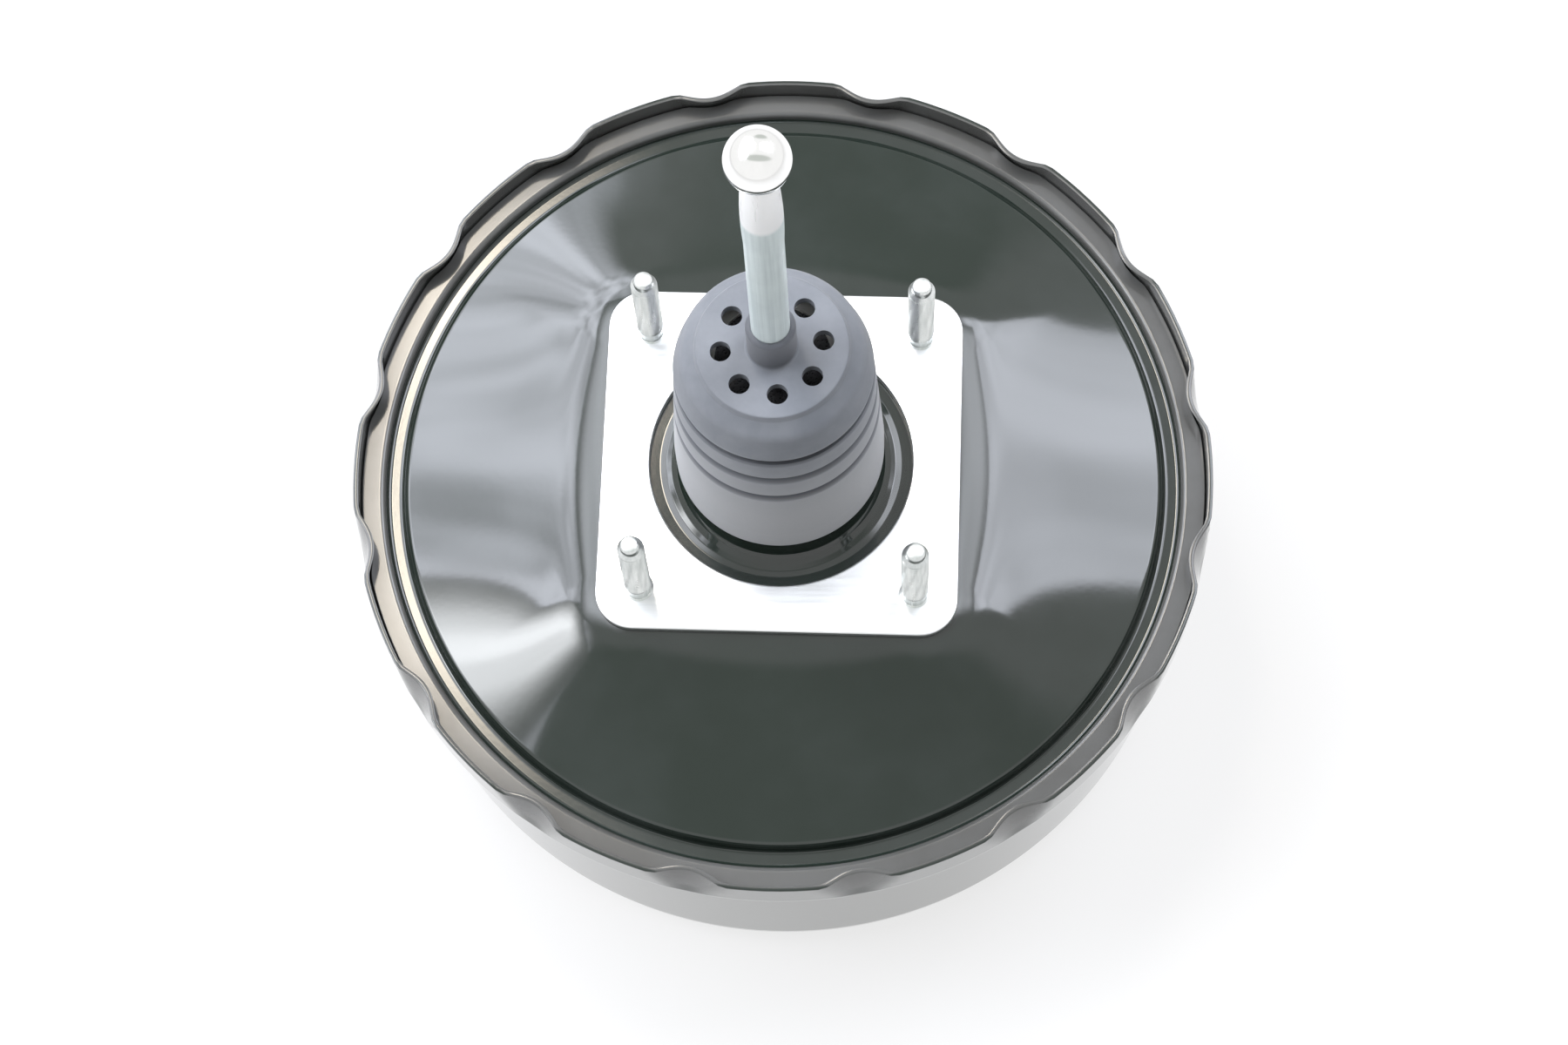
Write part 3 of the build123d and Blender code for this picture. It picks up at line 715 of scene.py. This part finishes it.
def makeFrontShell(s):
    skin = rim["sheet"] / 2
    wall = rim["radius"] - skin
    corners = [
        (wall, rim["lipTop"]),
        (wall, s["ledgeFace"] - skin),
        (s["bodyTop"] - skin, s["ledgeFace"] - skin),
        (s["bodyLow"] - skin, s["shoulderFace"] + skin),
        (s["ringRadius"], s["face"] + skin),
        (s["recessLow"], s["face"] + skin),
        (s["recessTop"], s["recessFace"] + skin),
        (s["bore"], s["recessFace"] + skin),
    ]
    line = roundedLine(corners, s["bends"])
    outline = band(supported(line, longest=s["longest"]), rim["sheet"])
    nearRim = (outline[:, 0] > wall - rim["sheet"]).astype(float)
    shell = crimped(outline, rimAngles(), nearRim)
    low = s["face"] - s["over"]
    grommetHole = cylinder(s["grommetHole"], low, s["pocketFloor"] + s["over"])
    studHole = cylinder(s["studHole"], s["recessFace"] - s["over"], s["recessFace"] + s["over"])
    holes = [
        moved(grommetHole, 0, s["pocketPlace"]),
        moved(studHole, -s["studPlace"], 0),
        moved(studHole, s["studPlace"], 0),
    ]
    tools = pocketTools(s, line[2:]) + [("DIFFERENCE", holes)]
    makePiece("frontShell", "black_enamel", ["front_shell"], [shell], "housing", tools)


rearShell = {
    "flangeRadius": 129.1,
    "flangeFace": -16.2,
    "grooveOuter": 121.9,
    "grooveInner": 116.3,
    "grooveDepth": 3.2,
    "coneStart": -16.6,
    "plateau": 76.0,        # radius of the flat part in the turned outline
    "plateauHalf": 58.0,    # half width of the square that it becomes
    "plateauCorner": 20.0,
    "plateauBend": 9.0,
    "plateauFace": -2.5,
    "neck": 29.5,
    "neckTop": 21.8,
    "lip": 25.4,
    "bends": (0.9, 2.25, 2.25, 1.8, 0, 7.8, 1.4),
    "longest": 2.4,
    "follow": 6.0,          # how far in from its edge the flange follows the crimps
    "footMargin": 3.0,
    "over": 6.0,
}


def squareReach(half, corner, angles):
    # A round-cornered square's edge at each angle: where the ray meets the flat side, or
    # else the corner's arc, p (a + b) + sqrt(p p (a + b)(a + b) - 2 p p + c c).
    a = np.abs(np.cos(angles))
    b = np.abs(np.sin(angles))
    p = half - corner
    straight = half / np.maximum(a, b)
    arc = p * (a + b) + np.sqrt(np.clip((p * (a + b)) ** 2 - 2 * p * p + corner * corner, 0, None))
    return np.where(straight * np.minimum(a, b) <= p, straight, arc)


def coneShare(radius, start, end, bend):
    # 0 on the flat part, 1 at the cone's foot, with a parabola over the bend between them
    past = radius - start
    curve = np.clip(past + bend, 0, None) ** 2 / (4 * bend)
    return np.clip(np.where(past > bend, past, curve) / (end - start), 0, 1)


def coneShift(s, outline, angles):
    # How far each point of the turned outline moves up or down, so that the cone starts at
    # a round-cornered square. First both faces of the sheet get their exact heights on the
    # cone, and then each point is lowered by what the square's cone is below the round one.
    skin = rim["sheet"] / 2
    top = s["plateauFace"] - skin
    foot = s["grooveInner"] - skin
    drop = top - s["coneStart"]
    radius = outline[:, :1]
    height = outline[:, 1:]
    past = radius - s["plateau"]
    run = foot - s["plateau"]
    share = np.clip(past / run, 0, 1)
    lean = drop / run * np.clip(0.5 + past / (2 * s["plateauBend"]), 0, 1)
    middle = top - drop * share
    exact = middle + np.sign(height - middle) * skin * np.sqrt(1 + lean * lean)
    onCone = (radius > s["plateau"] / 2) & (radius < foot - s["footMargin"])
    square = squareReach(s["plateauHalf"], s["plateauCorner"], angles)[None]
    lower = coneShare(radius, square, foot, s["plateauBend"]) - share
    return np.where(onCone, exact - height, 0) - drop * lower


def makeRearShell(s):
    skin = rim["sheet"] / 2
    flange = s["flangeFace"] - skin
    groove = flange - s["grooveDepth"]
    plateau = s["plateauFace"] - skin
    corners = [
        (s["flangeRadius"], flange),
        (s["grooveOuter"] + skin, flange),
        (s["grooveOuter"] + skin, groove),
        (s["grooveInner"] - skin, groove),
        (s["grooveInner"] - skin, s["coneStart"]),
        (s["plateau"], plateau),
        (s["neck"] - skin, plateau),
        (s["neck"] - skin, s["neckTop"] - skin),
        (s["lip"], s["neckTop"] - skin),
    ]
    line = roundedLine(corners, s["bends"])
    outline = band(supported(line, longest=s["longest"]), rim["sheet"])
    # the flange follows the crimps: fully at its edge, and not at all further in
    nearRim = np.clip((outline[:, 0] - s["flangeRadius"] + s["follow"]) / s["follow"], 0, 1)
    angles = rimAngles()
    shell = crimped(outline, angles, nearRim, s["flangeFace"])
    shell[0][:, :, 2] += coneShift(s, outline, angles)
    tools = studHoles(s["plateauFace"] - s["over"], s["plateauFace"] + s["over"])
    makePiece("rearShell", "black_enamel", ["rear_shell"], [shell], "housing", tools)


mountingPlate = {
    "width": 108.5,
    "corner": 11.5,
    "thickness": 2.5,
    "bore": 39.75,
    "edge": 0.5,            # radius of its rounded edges
    "margin": 0.4,
    "columns": 288,
    "over": 3.0,
}


def makeMountingPlate(s):
    # rings round the edge and then round the bore: each edge is a quarter of a circle, in
    # steps of 30 degrees, of points (distance inwards, depth below the face)
    e = s["edge"]
    less = e * (1 - math.cos(math.pi / 6))
    more = e * (1 - math.sin(math.pi / 6))
    quarter = [(e + s["margin"], 0), (e, 0), (more, less), (less, more), (0, e)]
    angles = evenAngles(s["columns"]) + math.pi / s["columns"]
    low = -s["thickness"]

    def edge(inset):
        return squareReach(s["width"] / 2 - inset, s["corner"] - inset, angles)

    rows = [(edge(inset), low + depth) for inset, depth in quarter[1:]]
    rows += [(edge(inset), -depth) for inset, depth in quarter[::-1]]
    rows += [(s["bore"] + inset, -depth) for inset, depth in quarter]
    rows += [(s["bore"] + inset, low + depth) for inset, depth in quarter[::-1]]
    rows += [(edge(inset), low + depth) for inset, depth in quarter[:1]]
    radius = np.array([r + 0 * angles for r, z in rows])
    height = np.array([[z] for r, z in rows])
    plate = (roundAxis(radius, height, angles), True, True)
    tools = studHoles(low - s["over"], s["over"])
    makePiece(
        "mountingPlate", "zinc_plate", ["rear_mounting_plate"], [plate], "housing", tools)


# Studs: an M8 thread is a ridge whose height follows a triangle wave of height / pitch
# less angle / full turn, faded in and out where the thread starts and ends.
studs = {
    "spacing": 82.5,
    "headLow": -6.3,
    "headHigh": -4.1,
    "headRadius": 8.0,
    "headBevel": 0.3,
    "shank": 4.6,
    "shankTop": -0.2,
    "rootLow": 0.02,
    "margin": 0.4,
    "radius": 4.0,
    "threadStart": 4.0,
    "threadEnd": 35.6,
    "threadDepth": 0.55,
    "threadSteep": 2.6,     # the wave is made this steep and clipped to flat tops and roots
    "threadFlat": 0.15,
    "fadeIn": 1.5,
    "fadeOut": 0.8,
    "pitch": 1.25,
    "runOut": ((0.75, 0.3), (0.45, 0.9), (0, 1.5)),     # out from the tip, up from the thread
    "tipRadius": 3.0,
    "tipRound": ((0, 1.2), (0.1, 0.7), (0.45, 0.25), (0.95, 0)),    # in from it, below the end
    "length": 40.0,
    "columns": 36,
    "rowsPerPitch": 8,
    "holeColumns": 48,
}
cylinderStuds = {
    **studs,
    "headLow": -6.8,
    "headHigh": -4.6,
    "threadEnd": 20.6,
    "length": 25.0,
    "face": -80.0,
    "places": (-40.0, 40.0),
}


def fourTimes(grid):
    # at the corners of a square round the axis
    half = studs["spacing"] / 2
    return [moved(grid, x, y) for x in (-half, half) for y in (-half, half)]


def studHoles(low, high):
    hole = cylinder(studs["shank"], low, high, studs["holeColumns"])
    return [("DIFFERENCE", fourTimes(hole))]


def threadedStud(s):
    angles = evenAngles(s["columns"])
    start = s["threadStart"]
    end = s["threadEnd"]
    rows = int((end - start) / s["pitch"] * s["rowsPerPitch"])
    height = np.linspace(start, end, rows)
    turnShare = (height[:, None] / s["pitch"] - angles[None] / (2 * math.pi)) % 1
    groove = np.clip(s["threadSteep"] * np.abs(turnShare - 0.5) - s["threadFlat"], 0, 1)
    fadeIn = np.clip((height - start) / s["fadeIn"], 0, 1)
    fadeOut = np.clip((end - height) / s["fadeOut"], 0, 1)
    thread = s["radius"] - s["threadDepth"] * groove * (fadeIn * fadeOut)[:, None]
    below = [
        (0, s["headLow"]),
        (s["headRadius"] - s["headBevel"], s["headLow"]),
        (s["headRadius"], s["headLow"] + s["headBevel"]),
        (s["headRadius"], s["headHigh"]),
        (s["shank"], s["headHigh"]),
        (s["shank"], s["shankTop"]),
        (s["radius"], s["rootLow"]),
        (s["radius"], s["margin"]),
        (s["radius"], start - s["margin"]),
    ]
    above = [(s["tipRadius"] + wider, end + rise) for wider, rise in s["runOut"]]
    above += [(s["tipRadius"] - inset, s["length"] - fall) for inset, fall in s["tipRound"]]
    above += [(0, s["length"])]
    heights = np.concatenate([[z for r, z in below], height, [z for r, z in above]])
    plain = [np.array([[r] for r, z in line]) + 0 * angles for line in (below, above)]
    radius = np.concatenate([plain[0], thread, plain[1]])
    return roundAxis(radius, heights[:, None], angles), False, True


def makeStuds(s):
    makePiece("rearStuds", "stud_steel", ["rear_studs"], fourTimes(threadedStud(s)), "housing")


def makeCylinderStuds(s):
    # the same studs, shorter and turned over, in the floor of the front shell's recess
    points, *wraps = threadedStud(s)
    turnedOver = (points * np.array([1, -1, -1]), *wraps)
    grids = [moved(turnedOver, x, 0, s["face"]) for x in s["places"]]
    makePiece(
        "masterCylinderStuds", "stud_steel", ["master_cylinder_studs"], grids, "housing")


# The boot: an outer and an inner line, of one rubber wall. It is three pieces: the cuff
# and the side stay with the housing, and the end is a piece on its own.
boot = {
    "wall": 1.6,
    "cuff": 30.35,          # radius of the wall's middle
    "cuffLow": 11.7,
    "cuffTop": 22.0,
    "cuffBend": 8.0,
    "seamLow": 24.5,
    "shoulder": 79.0,
    "shoulderRadius": 27.6,
    "bendRadius": 25.4,
    "bendHeight": 87.5,
    "grooves": (0.49, 0.72, 0.94),      # shares of the way from the cuff to the shoulder
    "grooveWidth": 4.2,
    "grooveDepth": 1.8,
    "grooveBend": 1.0,
    "discRadius": 21.5,
    "discFace": 93.6,
    "discFoot": 92.0,       # where the step up to that face starts
    "hole": 5.45,
    "noseTop": 109.0,
    "outerBends": [4.0, 6.0, 0.5, 0.5, 0.8, 1.2, 0.2],
    "innerBends": [4.0, 6.0, 2.0, 0.4],
    "vents": 8,
    "ventCircle": 14.45,
    "ventRadius": 2.97,
    "ventPhase": 8.0,
    "ventColumns": 40,
    "over": 6.0,
    "travel": 1.5,          # gap in the top groove, for the plunger's travel
    "tongue": 2.4,          # the end's own ring behind that gap
    "tongueGap": 0.2,
    "tongueWall": 0.5,
    "columns": 192,
    "longest": 3.0,
    "stroke": 32.0,
    "swingFrom": 0.5,       # above the top seam
    "swingTo": 91.0,
}


def between(line, low, high, near=1e-6):
    # the part of a rising line between two heights, with its ends exactly there
    inside = line[(line[:, 1] > low + near) & (line[:, 1] < high - near)]
    ends = np.array([(np.interp(z, line[:, 1], line[:, 0]), z) for z in (low, high)])
    return np.concatenate([ends[:1], inside, ends[1:]])


def bootSide(s, offset):
    # from the cuff's foot to the start of the shoulder, offset from the wall's middle
    rise = s["shoulder"] - s["cuffTop"]
    half = s["grooveWidth"] / 2

    def radius(z):
        share = (z - s["cuffTop"]) / rise
        return s["cuff"] + share * (s["shoulderRadius"] - s["cuff"]) + offset

    corners = [
        (s["cuff"] + offset, s["cuffLow"]),
        (s["cuff"] + offset, s["cuffTop"]),
        (radius(s["seamLow"]), s["seamLow"]),
    ]
    bends = [s["cuffBend"], 0]
    for share in s["grooves"]:
        z = s["cuffTop"] + share * rise
        corners += [
            (radius(z - half), z - half),
            (radius(z) - s["grooveDepth"], z),
            (radius(z + half), z + half),
        ]
        bends += [s["grooveBend"]] * 3
    return corners, bends


def bootLines(s):
    # The whole outer and inner lines, from the cuff's foot to the top of the nose. The
    # small offsets keep the wall even round its bends.
    skin = s["wall"] / 2
    foot = s["discFoot"]
    nose = s["hole"] + s["wall"]
    outerEnd = [
        (s["shoulderRadius"] + skin, s["shoulder"]),
        (s["bendRadius"] + skin, s["bendHeight"] + 0.5),
        (s["discRadius"] + 0.6, foot - 0.1),
        (s["discRadius"] - 0.1, s["discFace"]),
        (nose, s["discFace"]),
        (nose, s["noseTop"]),
        (s["hole"], s["noseTop"]),
    ]
    innerEnd = [
        (s["shoulderRadius"] - skin, s["shoulder"]),
        (s["bendRadius"] - skin, s["bendHeight"] - 0.6),
        (s["discRadius"] - 0.8, foot - s["wall"]),
        (s["hole"], foot - s["wall"]),
        (s["hole"], s["noseTop"] - 0.6),
    ]

    def line(offset, end, endBends):
        corners, bends = bootSide(s, offset)
        return supported(roundedLine(corners + end, bends + endBends), longest=s["longest"])

    return [line(skin, outerEnd, s["outerBends"]), line(-skin, innerEnd, s["innerBends"])]


def bootEndOutline(s, lines, seam, gapLow, near=1e-6):
    # everything above the top groove, and the ring behind the gap on its inner line
    outer, inner = (
        np.concatenate([between(line, gapLow, seam)[-1:], line[line[:, 1] > seam + near]])
        for line in lines
    )
    outside = inner[0, 0] - s["tongueGap"]
    inside = outside - s["tongueWall"]
    tongue = np.array([
        (outside, seam), (outside, seam - s["tongue"]), (inside, seam - s["tongue"]), (inside, seam),
    ])
    return outer, np.concatenate([tongue, inner[1:]])


def bootVents(s):
    low = s["discFoot"] - s["over"]
    hole = cylinder(s["ventRadius"], low, s["discFoot"] + s["over"], s["ventColumns"])
    turns = math.radians(s["ventPhase"]) + evenAngles(s["vents"])
    circle = s["ventCircle"]
    return [moved(hole, circle * math.cos(turn), circle * math.sin(turn)) for turn in turns]


def makeBoot(s):
    lines = bootLines(s)
    seam = s["cuffTop"] + s["grooves"][-1] * (s["shoulder"] - s["cuffTop"])
    gapLow = seam - s["travel"]
    angles = evenAngles(s["columns"])

    def piece(name, outer, inner, body=None, cutters=()):
        grid = turned(np.concatenate([outer, inner[::-1]]), angles)
        return makePiece(name, "boot_rubber", ["dust_boot"], [grid], body, cutters)

    cuffLines = [between(line, s["cuffLow"], s["seamLow"]) for line in lines]
    sideLines = [between(line, s["seamLow"], gapLow) for line in lines]
    endLines = bootEndOutline(s, lines, seam, gapLow)
    piece("bootCuff", *cuffLines, "housing")
    side = piece("bootSide", *sideLines, "housing")
    end = piece("bootEnd", *endLines, cutters=[("DIFFERENCE", bootVents(s))])
    long = gapLow - s["seamLow"]
    keep = (long - s["stroke"]) / long
    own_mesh(side)
    start = (0, 0, (seam + s["swingFrom"]) * mm)
    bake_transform(end)


inputRod = {
    "socket": 17.0,
    "socketRadius": 5.5,
    "socketRows": 20,
    "neck": 4.5,
    "shoulder": 61.6,
    "bevel": 0.4,
    "margin": 1.0,
    "radius": 5.4,
    "polish": 168.0,
    "polishRows": 25,
    "middle": 5.6,
    "throat": 206.0,
    "throatRadius": 4.75,
    "ballCentre": 217.1,
    "ballRadius": 8.72,
    "ballRows": 72,
    "ballColumns": 128,
    "spigot": 4.0,
    "seat": 210.38,
    "columns": 96,
}


def ballArc(centre, radius, turn):
    # points of a ball's outline, by their angle from its lowest point
    return np.stack([radius * np.sin(turn), centre - radius * np.cos(turn)], axis=1)


def makeInputRod(s):
    # the turned end's radius is the parabola through its start, middle and throat
    share = np.linspace(0, 1, s["polishRows"])[1:]
    height = s["polish"] + share * (s["throat"] - s["polish"])
    radius = (
        s["radius"] * (1 - share) * (1 - 2 * share)
        + s["middle"] * 4 * share * (1 - share)
        + s["throatRadius"] * share * (2 * share - 1)
    )
    foot = math.asin(s["neck"] / s["socketRadius"])
    turn = np.linspace(0, math.pi - foot, s["socketRows"])
    top = s["ballCentre"] - s["ballRadius"] / 2
    straight = [
        (s["neck"], s["shoulder"]),
        (s["radius"] - s["bevel"], s["shoulder"]),
        (s["radius"], s["shoulder"] + s["bevel"]),
        (s["radius"], s["shoulder"] + s["margin"]),
        (s["radius"], s["polish"]),
    ]
    end = [(s["throatRadius"], s["seat"]), (s["spigot"], s["seat"]), (s["spigot"], top), (0, top)]
    outline = np.concatenate([
        ballArc(s["socket"], s["socketRadius"], turn), straight,
        np.stack([radius, height], axis=1), end,
    ])
    grid = turned(outline, evenAngles(s["columns"]), False)
    makePiece("inputRod", "rod_steel", ["input_rod"], [grid], "input_rod")


def makePedalBall(s):
    low = math.acos((s["ballCentre"] - s["seat"]) / s["ballRadius"])
    turn = np.linspace(low, math.pi, s["ballRows"])
    top = s["ballCentre"] - s["ballRadius"] / 2
    arc = ballArc(s["ballCentre"], s["ballRadius"], turn)
    outline = np.concatenate([[(0, top), (s["spigot"], top), (s["spigot"], s["seat"])], arc])
    outline[-1, 0] = 0
    grid = turned(outline, evenAngles(s["ballColumns"]), False)
    makePiece("pedalBall", "ball_chrome", ["pedal_ball"], [grid], "input_rod")


# Springs: a round wire carried along a helix whose rise is held back over the last
# part of a turn at each end, where the real coil lies flat.
def coilGrid(wire, coil, low, high, turns, flat=0.6, rows=28, columns=14):
    along = np.linspace(0, 1, int(rows * turns) + 1)
    turn = along * turns * 2 * math.pi
    ramp = np.clip((along * turns - flat) / (turns - 2 * flat), 0, 1)
    height = low + wire / 2 + (high - low - wire) * ramp
    slope = np.gradient(height, turn)
    centre = np.stack([coil * np.cos(turn), coil * np.sin(turn), height], axis=1)
    outward = np.stack([np.cos(turn), np.sin(turn), 0 * turn], axis=1)
    ahead = np.stack([-coil * np.sin(turn), coil * np.cos(turn), slope], axis=1)
    ahead /= np.linalg.norm(ahead, axis=1)[:, None]
    upward = np.cross(outward, ahead)
    around = evenAngles(columns)
    across = np.cos(around)[None, :, None] * outward[:, None]
    ring = across + np.sin(around)[None, :, None] * upward[:, None]
    tube = centre[:, None] + wire / 2 * ring
    caps = centre[[0, -1]][:, None] + 0 * ring[[0, -1]]
    return np.concatenate([caps[:1], tube, caps[1:]]), False, True


springs = {
    "mainReturnSpring": {
        "node": "main_return_spring", "wire": 3.6, "coil": 27.0, "low": -75.1, "high": -26.3,
        "turns": 4.0, "body": "housing", "joint": "power_stroke", "travel": 32.0},
    "rodReturnSpring": {
        "node": "rod_return_spring", "wire": 1.8, "coil": 15.2, "low": 49.3, "high": 59.6,
        "turns": 3.0, "body": "power_piston", "joint": "valve_travel", "travel": 1.4},
    "poppetSpring": {
        "node": "poppet_spring", "wire": 1.3, "coil": 14.2, "low": 30.35, "high": 47.0,
        "turns": 4.0, "body": "power_piston", "joint": None},
    "checkValveSpring": {
        "node": "check_valve_spring", "wire": 0.9, "coil": 4.6, "low": -103.05, "high": -90.7,
        "turns": 3.0, "body": "housing", "joint": "check_valve_lift", "travel": 2.0, "y": 106.0},
}


def makeSpring(name, s):
    grid = moved(coilGrid(s["wire"], s["coil"], s["low"], s["high"], s["turns"]), 0, s.get("y", 0))
    piece = makePiece(name, "spring_steel", [s["node"]], [grid], s["body"])
    if s["joint"]:
        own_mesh(piece)


makeFrontShell(frontShell)
makeRearShell(rearShell)
makeMountingPlate(mountingPlate)
makeStuds(studs)
makeCylinderStuds(cylinderStuds)
print("shells, plate and studs made")
makeBoot(boot)
makeInputRod(inputRod)
makePedalBall(inputRod)
print("boot, rod and ball made")
for name, s in springs.items():
    makeSpring(name, s)
print("springs made")


# A plain pale floor, and a world that is white to the eye, in gloss and through glass.
# Soft boxes are cards whose light fades towards their edges, and two grey cards stand
# where the photograph's room was dark. A card has a direction from the booster, a half
# width and half height in metres, a turn in degrees, a light and a colour.
studio = {
    "floorSize": 30.0,
    "floorDrop": 0.0002,
    "floorColour": (0.9, 0.9, 0.9, 1),
    "floorLight": 0.75,
    "skyForMatt": 0.42,
    "distance": 2.0,
    "cardFade": 0.45,       # share of a grey card's reach at which its grey starts to fade
}
softBoxes = {
    "leftBox": {
        "towards": (-0.57, 0.32, 0.76), "half": (0.62, 1.45), "turn": -7.0, "light": 9.5,
        "colour": (0.88, 0.91, 1.0), "soft": (0.5, 0.3), "cloud": 4.2, "cloudDepth": 0.7},
    "lowerLeftBox": {
        "towards": (-0.6, -0.02, 0.8), "half": (0.34, 0.4), "light": 16.0,
        "colour": (0.95, 0.97, 1.0), "soft": (0.8, 0.8), "cloud": 5.0, "cloudDepth": 0.3},
    "leftMiddleBox": {
        "towards": (-0.29, 0.32, 0.9), "half": (0.3, 0.62), "turn": -4.0, "light": 6.5,
        "colour": (0.9, 0.93, 1.0), "soft": (0.5, 0.4), "cloud": 3.2, "cloudDepth": 0.3},
    "rightBox": {
        "towards": (0.47, 0.37, 0.8), "half": (0.54, 0.46), "turn": 3.0, "light": 9.0,
        "colour": (0.88, 0.91, 1.0), "soft": (0.4, 0.12), "cloud": 2.8, "cloudDepth": 0.4},
    "rightMiddleBox": {
        "towards": (0.26, 0.33, 0.91), "half": (0.26, 0.4), "turn": 2.0, "light": 6.0,
        "colour": (0.9, 0.93, 1.0), "soft": (0.5, 0.3), "cloud": 3.2, "cloudDepth": 0.3},
    "warmBox": {
        "towards": (-0.16, 0.335, 0.93), "half": (0.14, 0.3), "light": 25.0,
        "colour": (1.0, 0.9, 0.76), "soft": (0.6, 0.6), "cloud": 3.0, "cloudDepth": 0.2},
}
greyCards = {
    "nearCard": {"towards": (0.06, -0.27, 0.96), "half": (2.4, 0.46), "colour": (0.6, 0.63, 0.6)},
    "farCard": {"towards": (0.12, 0.8, 0.58), "half": (0.7, 0.4), "colour": (0.6, 0.63, 0.6)},
}


def makeSheet(name, w, h, z=0.0):
    # a rectangle by its half width, half height and level, which is no part of the booster
    mesh = bpy.data.meshes.new(name)
    mesh.from_pydata([(-w, -h, z), (w, -h, z), (w, h, z), (-w, h, z)], [], [(0, 1, 2, 3)])
    sheet = newObject(name, mesh)
    return sheet


def makeFloor(s):
    low = cadBounds[0][2] - s["floorDrop"]
    floor = makeSheet("floor", s["floorSize"] / 2, s["floorSize"] / 2, low)
    f = Finish("paleFloor", Base_Color=s["floorColour"], Roughness=0.9, Specular_IOR_Level=0.1)
    white = f.start.make("ShaderNodeEmission", Strength=1.0)
    mixed = f.start.make("ShaderNodeMixShader", i0=s["floorLight"] * backgroundRays(f.start))
    f.tree.links.new(f.shader.outputs[0], mixed.inputs[1])
    f.tree.links.new(white.outputs[0], mixed.inputs[2])
    f.tree.links.new(mixed.outputs[0], f.tree.nodes["Material Output"].inputs["Surface"])
    floor.data.materials.append(f.material)


def makeWorld(s):
    world = bpy.data.worlds.new("studio")
    bpy.context.scene.world = world
    world.use_nodes = True
    seen = backgroundRays(Socket(world.node_tree, None))
    level = s["skyForMatt"] + (1 - s["skyForMatt"]) * seen
    sky = world.node_tree.nodes["Background"]
    sky.inputs["Color"].default_value = (1, 1, 1, 1)
    world.node_tree.links.new(level.socket, sky.inputs["Strength"])


def makeCard(name, s):
    # a rectangle that faces the booster, seen by no camera, and its glowing black finish
    card = makeSheet(name, *s["half"])
    back = Vector(s["towards"]).normalized()
    level = Vector((0, 1, 0)).cross(back).normalized()
    upright = back.cross(level)
    turn = math.radians(s.get("turn", 0))
    across = math.cos(turn) * level + math.sin(turn) * upright
    up = math.cos(turn) * upright - math.sin(turn) * level
    facing = Matrix((across, up, back)).transposed().to_4x4()
    card.matrix_world = Matrix.Translation(studio["distance"] * back) @ facing
    card.visible_camera = False
    card.visible_shadow = False
    f = Finish(
        name, Base_Color=(0, 0, 0, 1), Roughness=1.0, Specular_IOR_Level=0.0,
        Emission_Strength=s.get("light", 1),
    )
    card.data.materials.append(f.material)
    return card, f


def makeSoftBox(name, s):
    f = makeCard(name, s)[1]
    mask = 1 - s["cloudDepth"] * f.noise(s["cloud"], detail=2.5, roughness=0.55).step(0.35, 0.7)
    for place, half, soft in zip(f.parts(), s["half"], s["soft"]):
        mask = mask * (1 - place.size().step((1 - soft) * half, half))
    # outside its glow a card is as white as the world
    dim = 1 / s["light"]
    f.wire(Emission_Color=mask.mix((dim, dim, dim, 1), (*s["colour"], 1)))


def makeGreyCard(name, s):
    card, f = makeCard(name, s)
    card.visible_diffuse = False
    x, y = f.parts()[:2]
    wide, high = s["half"]
    far = (x * x * wide ** -2 + y * y * high ** -2) ** 0.5
    edge = far.step(studio["cardFade"], 1.0)
    f.wire(Emission_Color=edge.mix((*s["colour"], 1), (1, 1, 1, 1)))


makeFloor(studio)
makeWorld(studio)
for name, s in softBoxes.items():
    makeSoftBox(name, s)
for name, s in greyCards.items():
    makeGreyCard(name, s)
bpy.context.scene.view_settings.view_transform = "Standard"
print("studio ready")
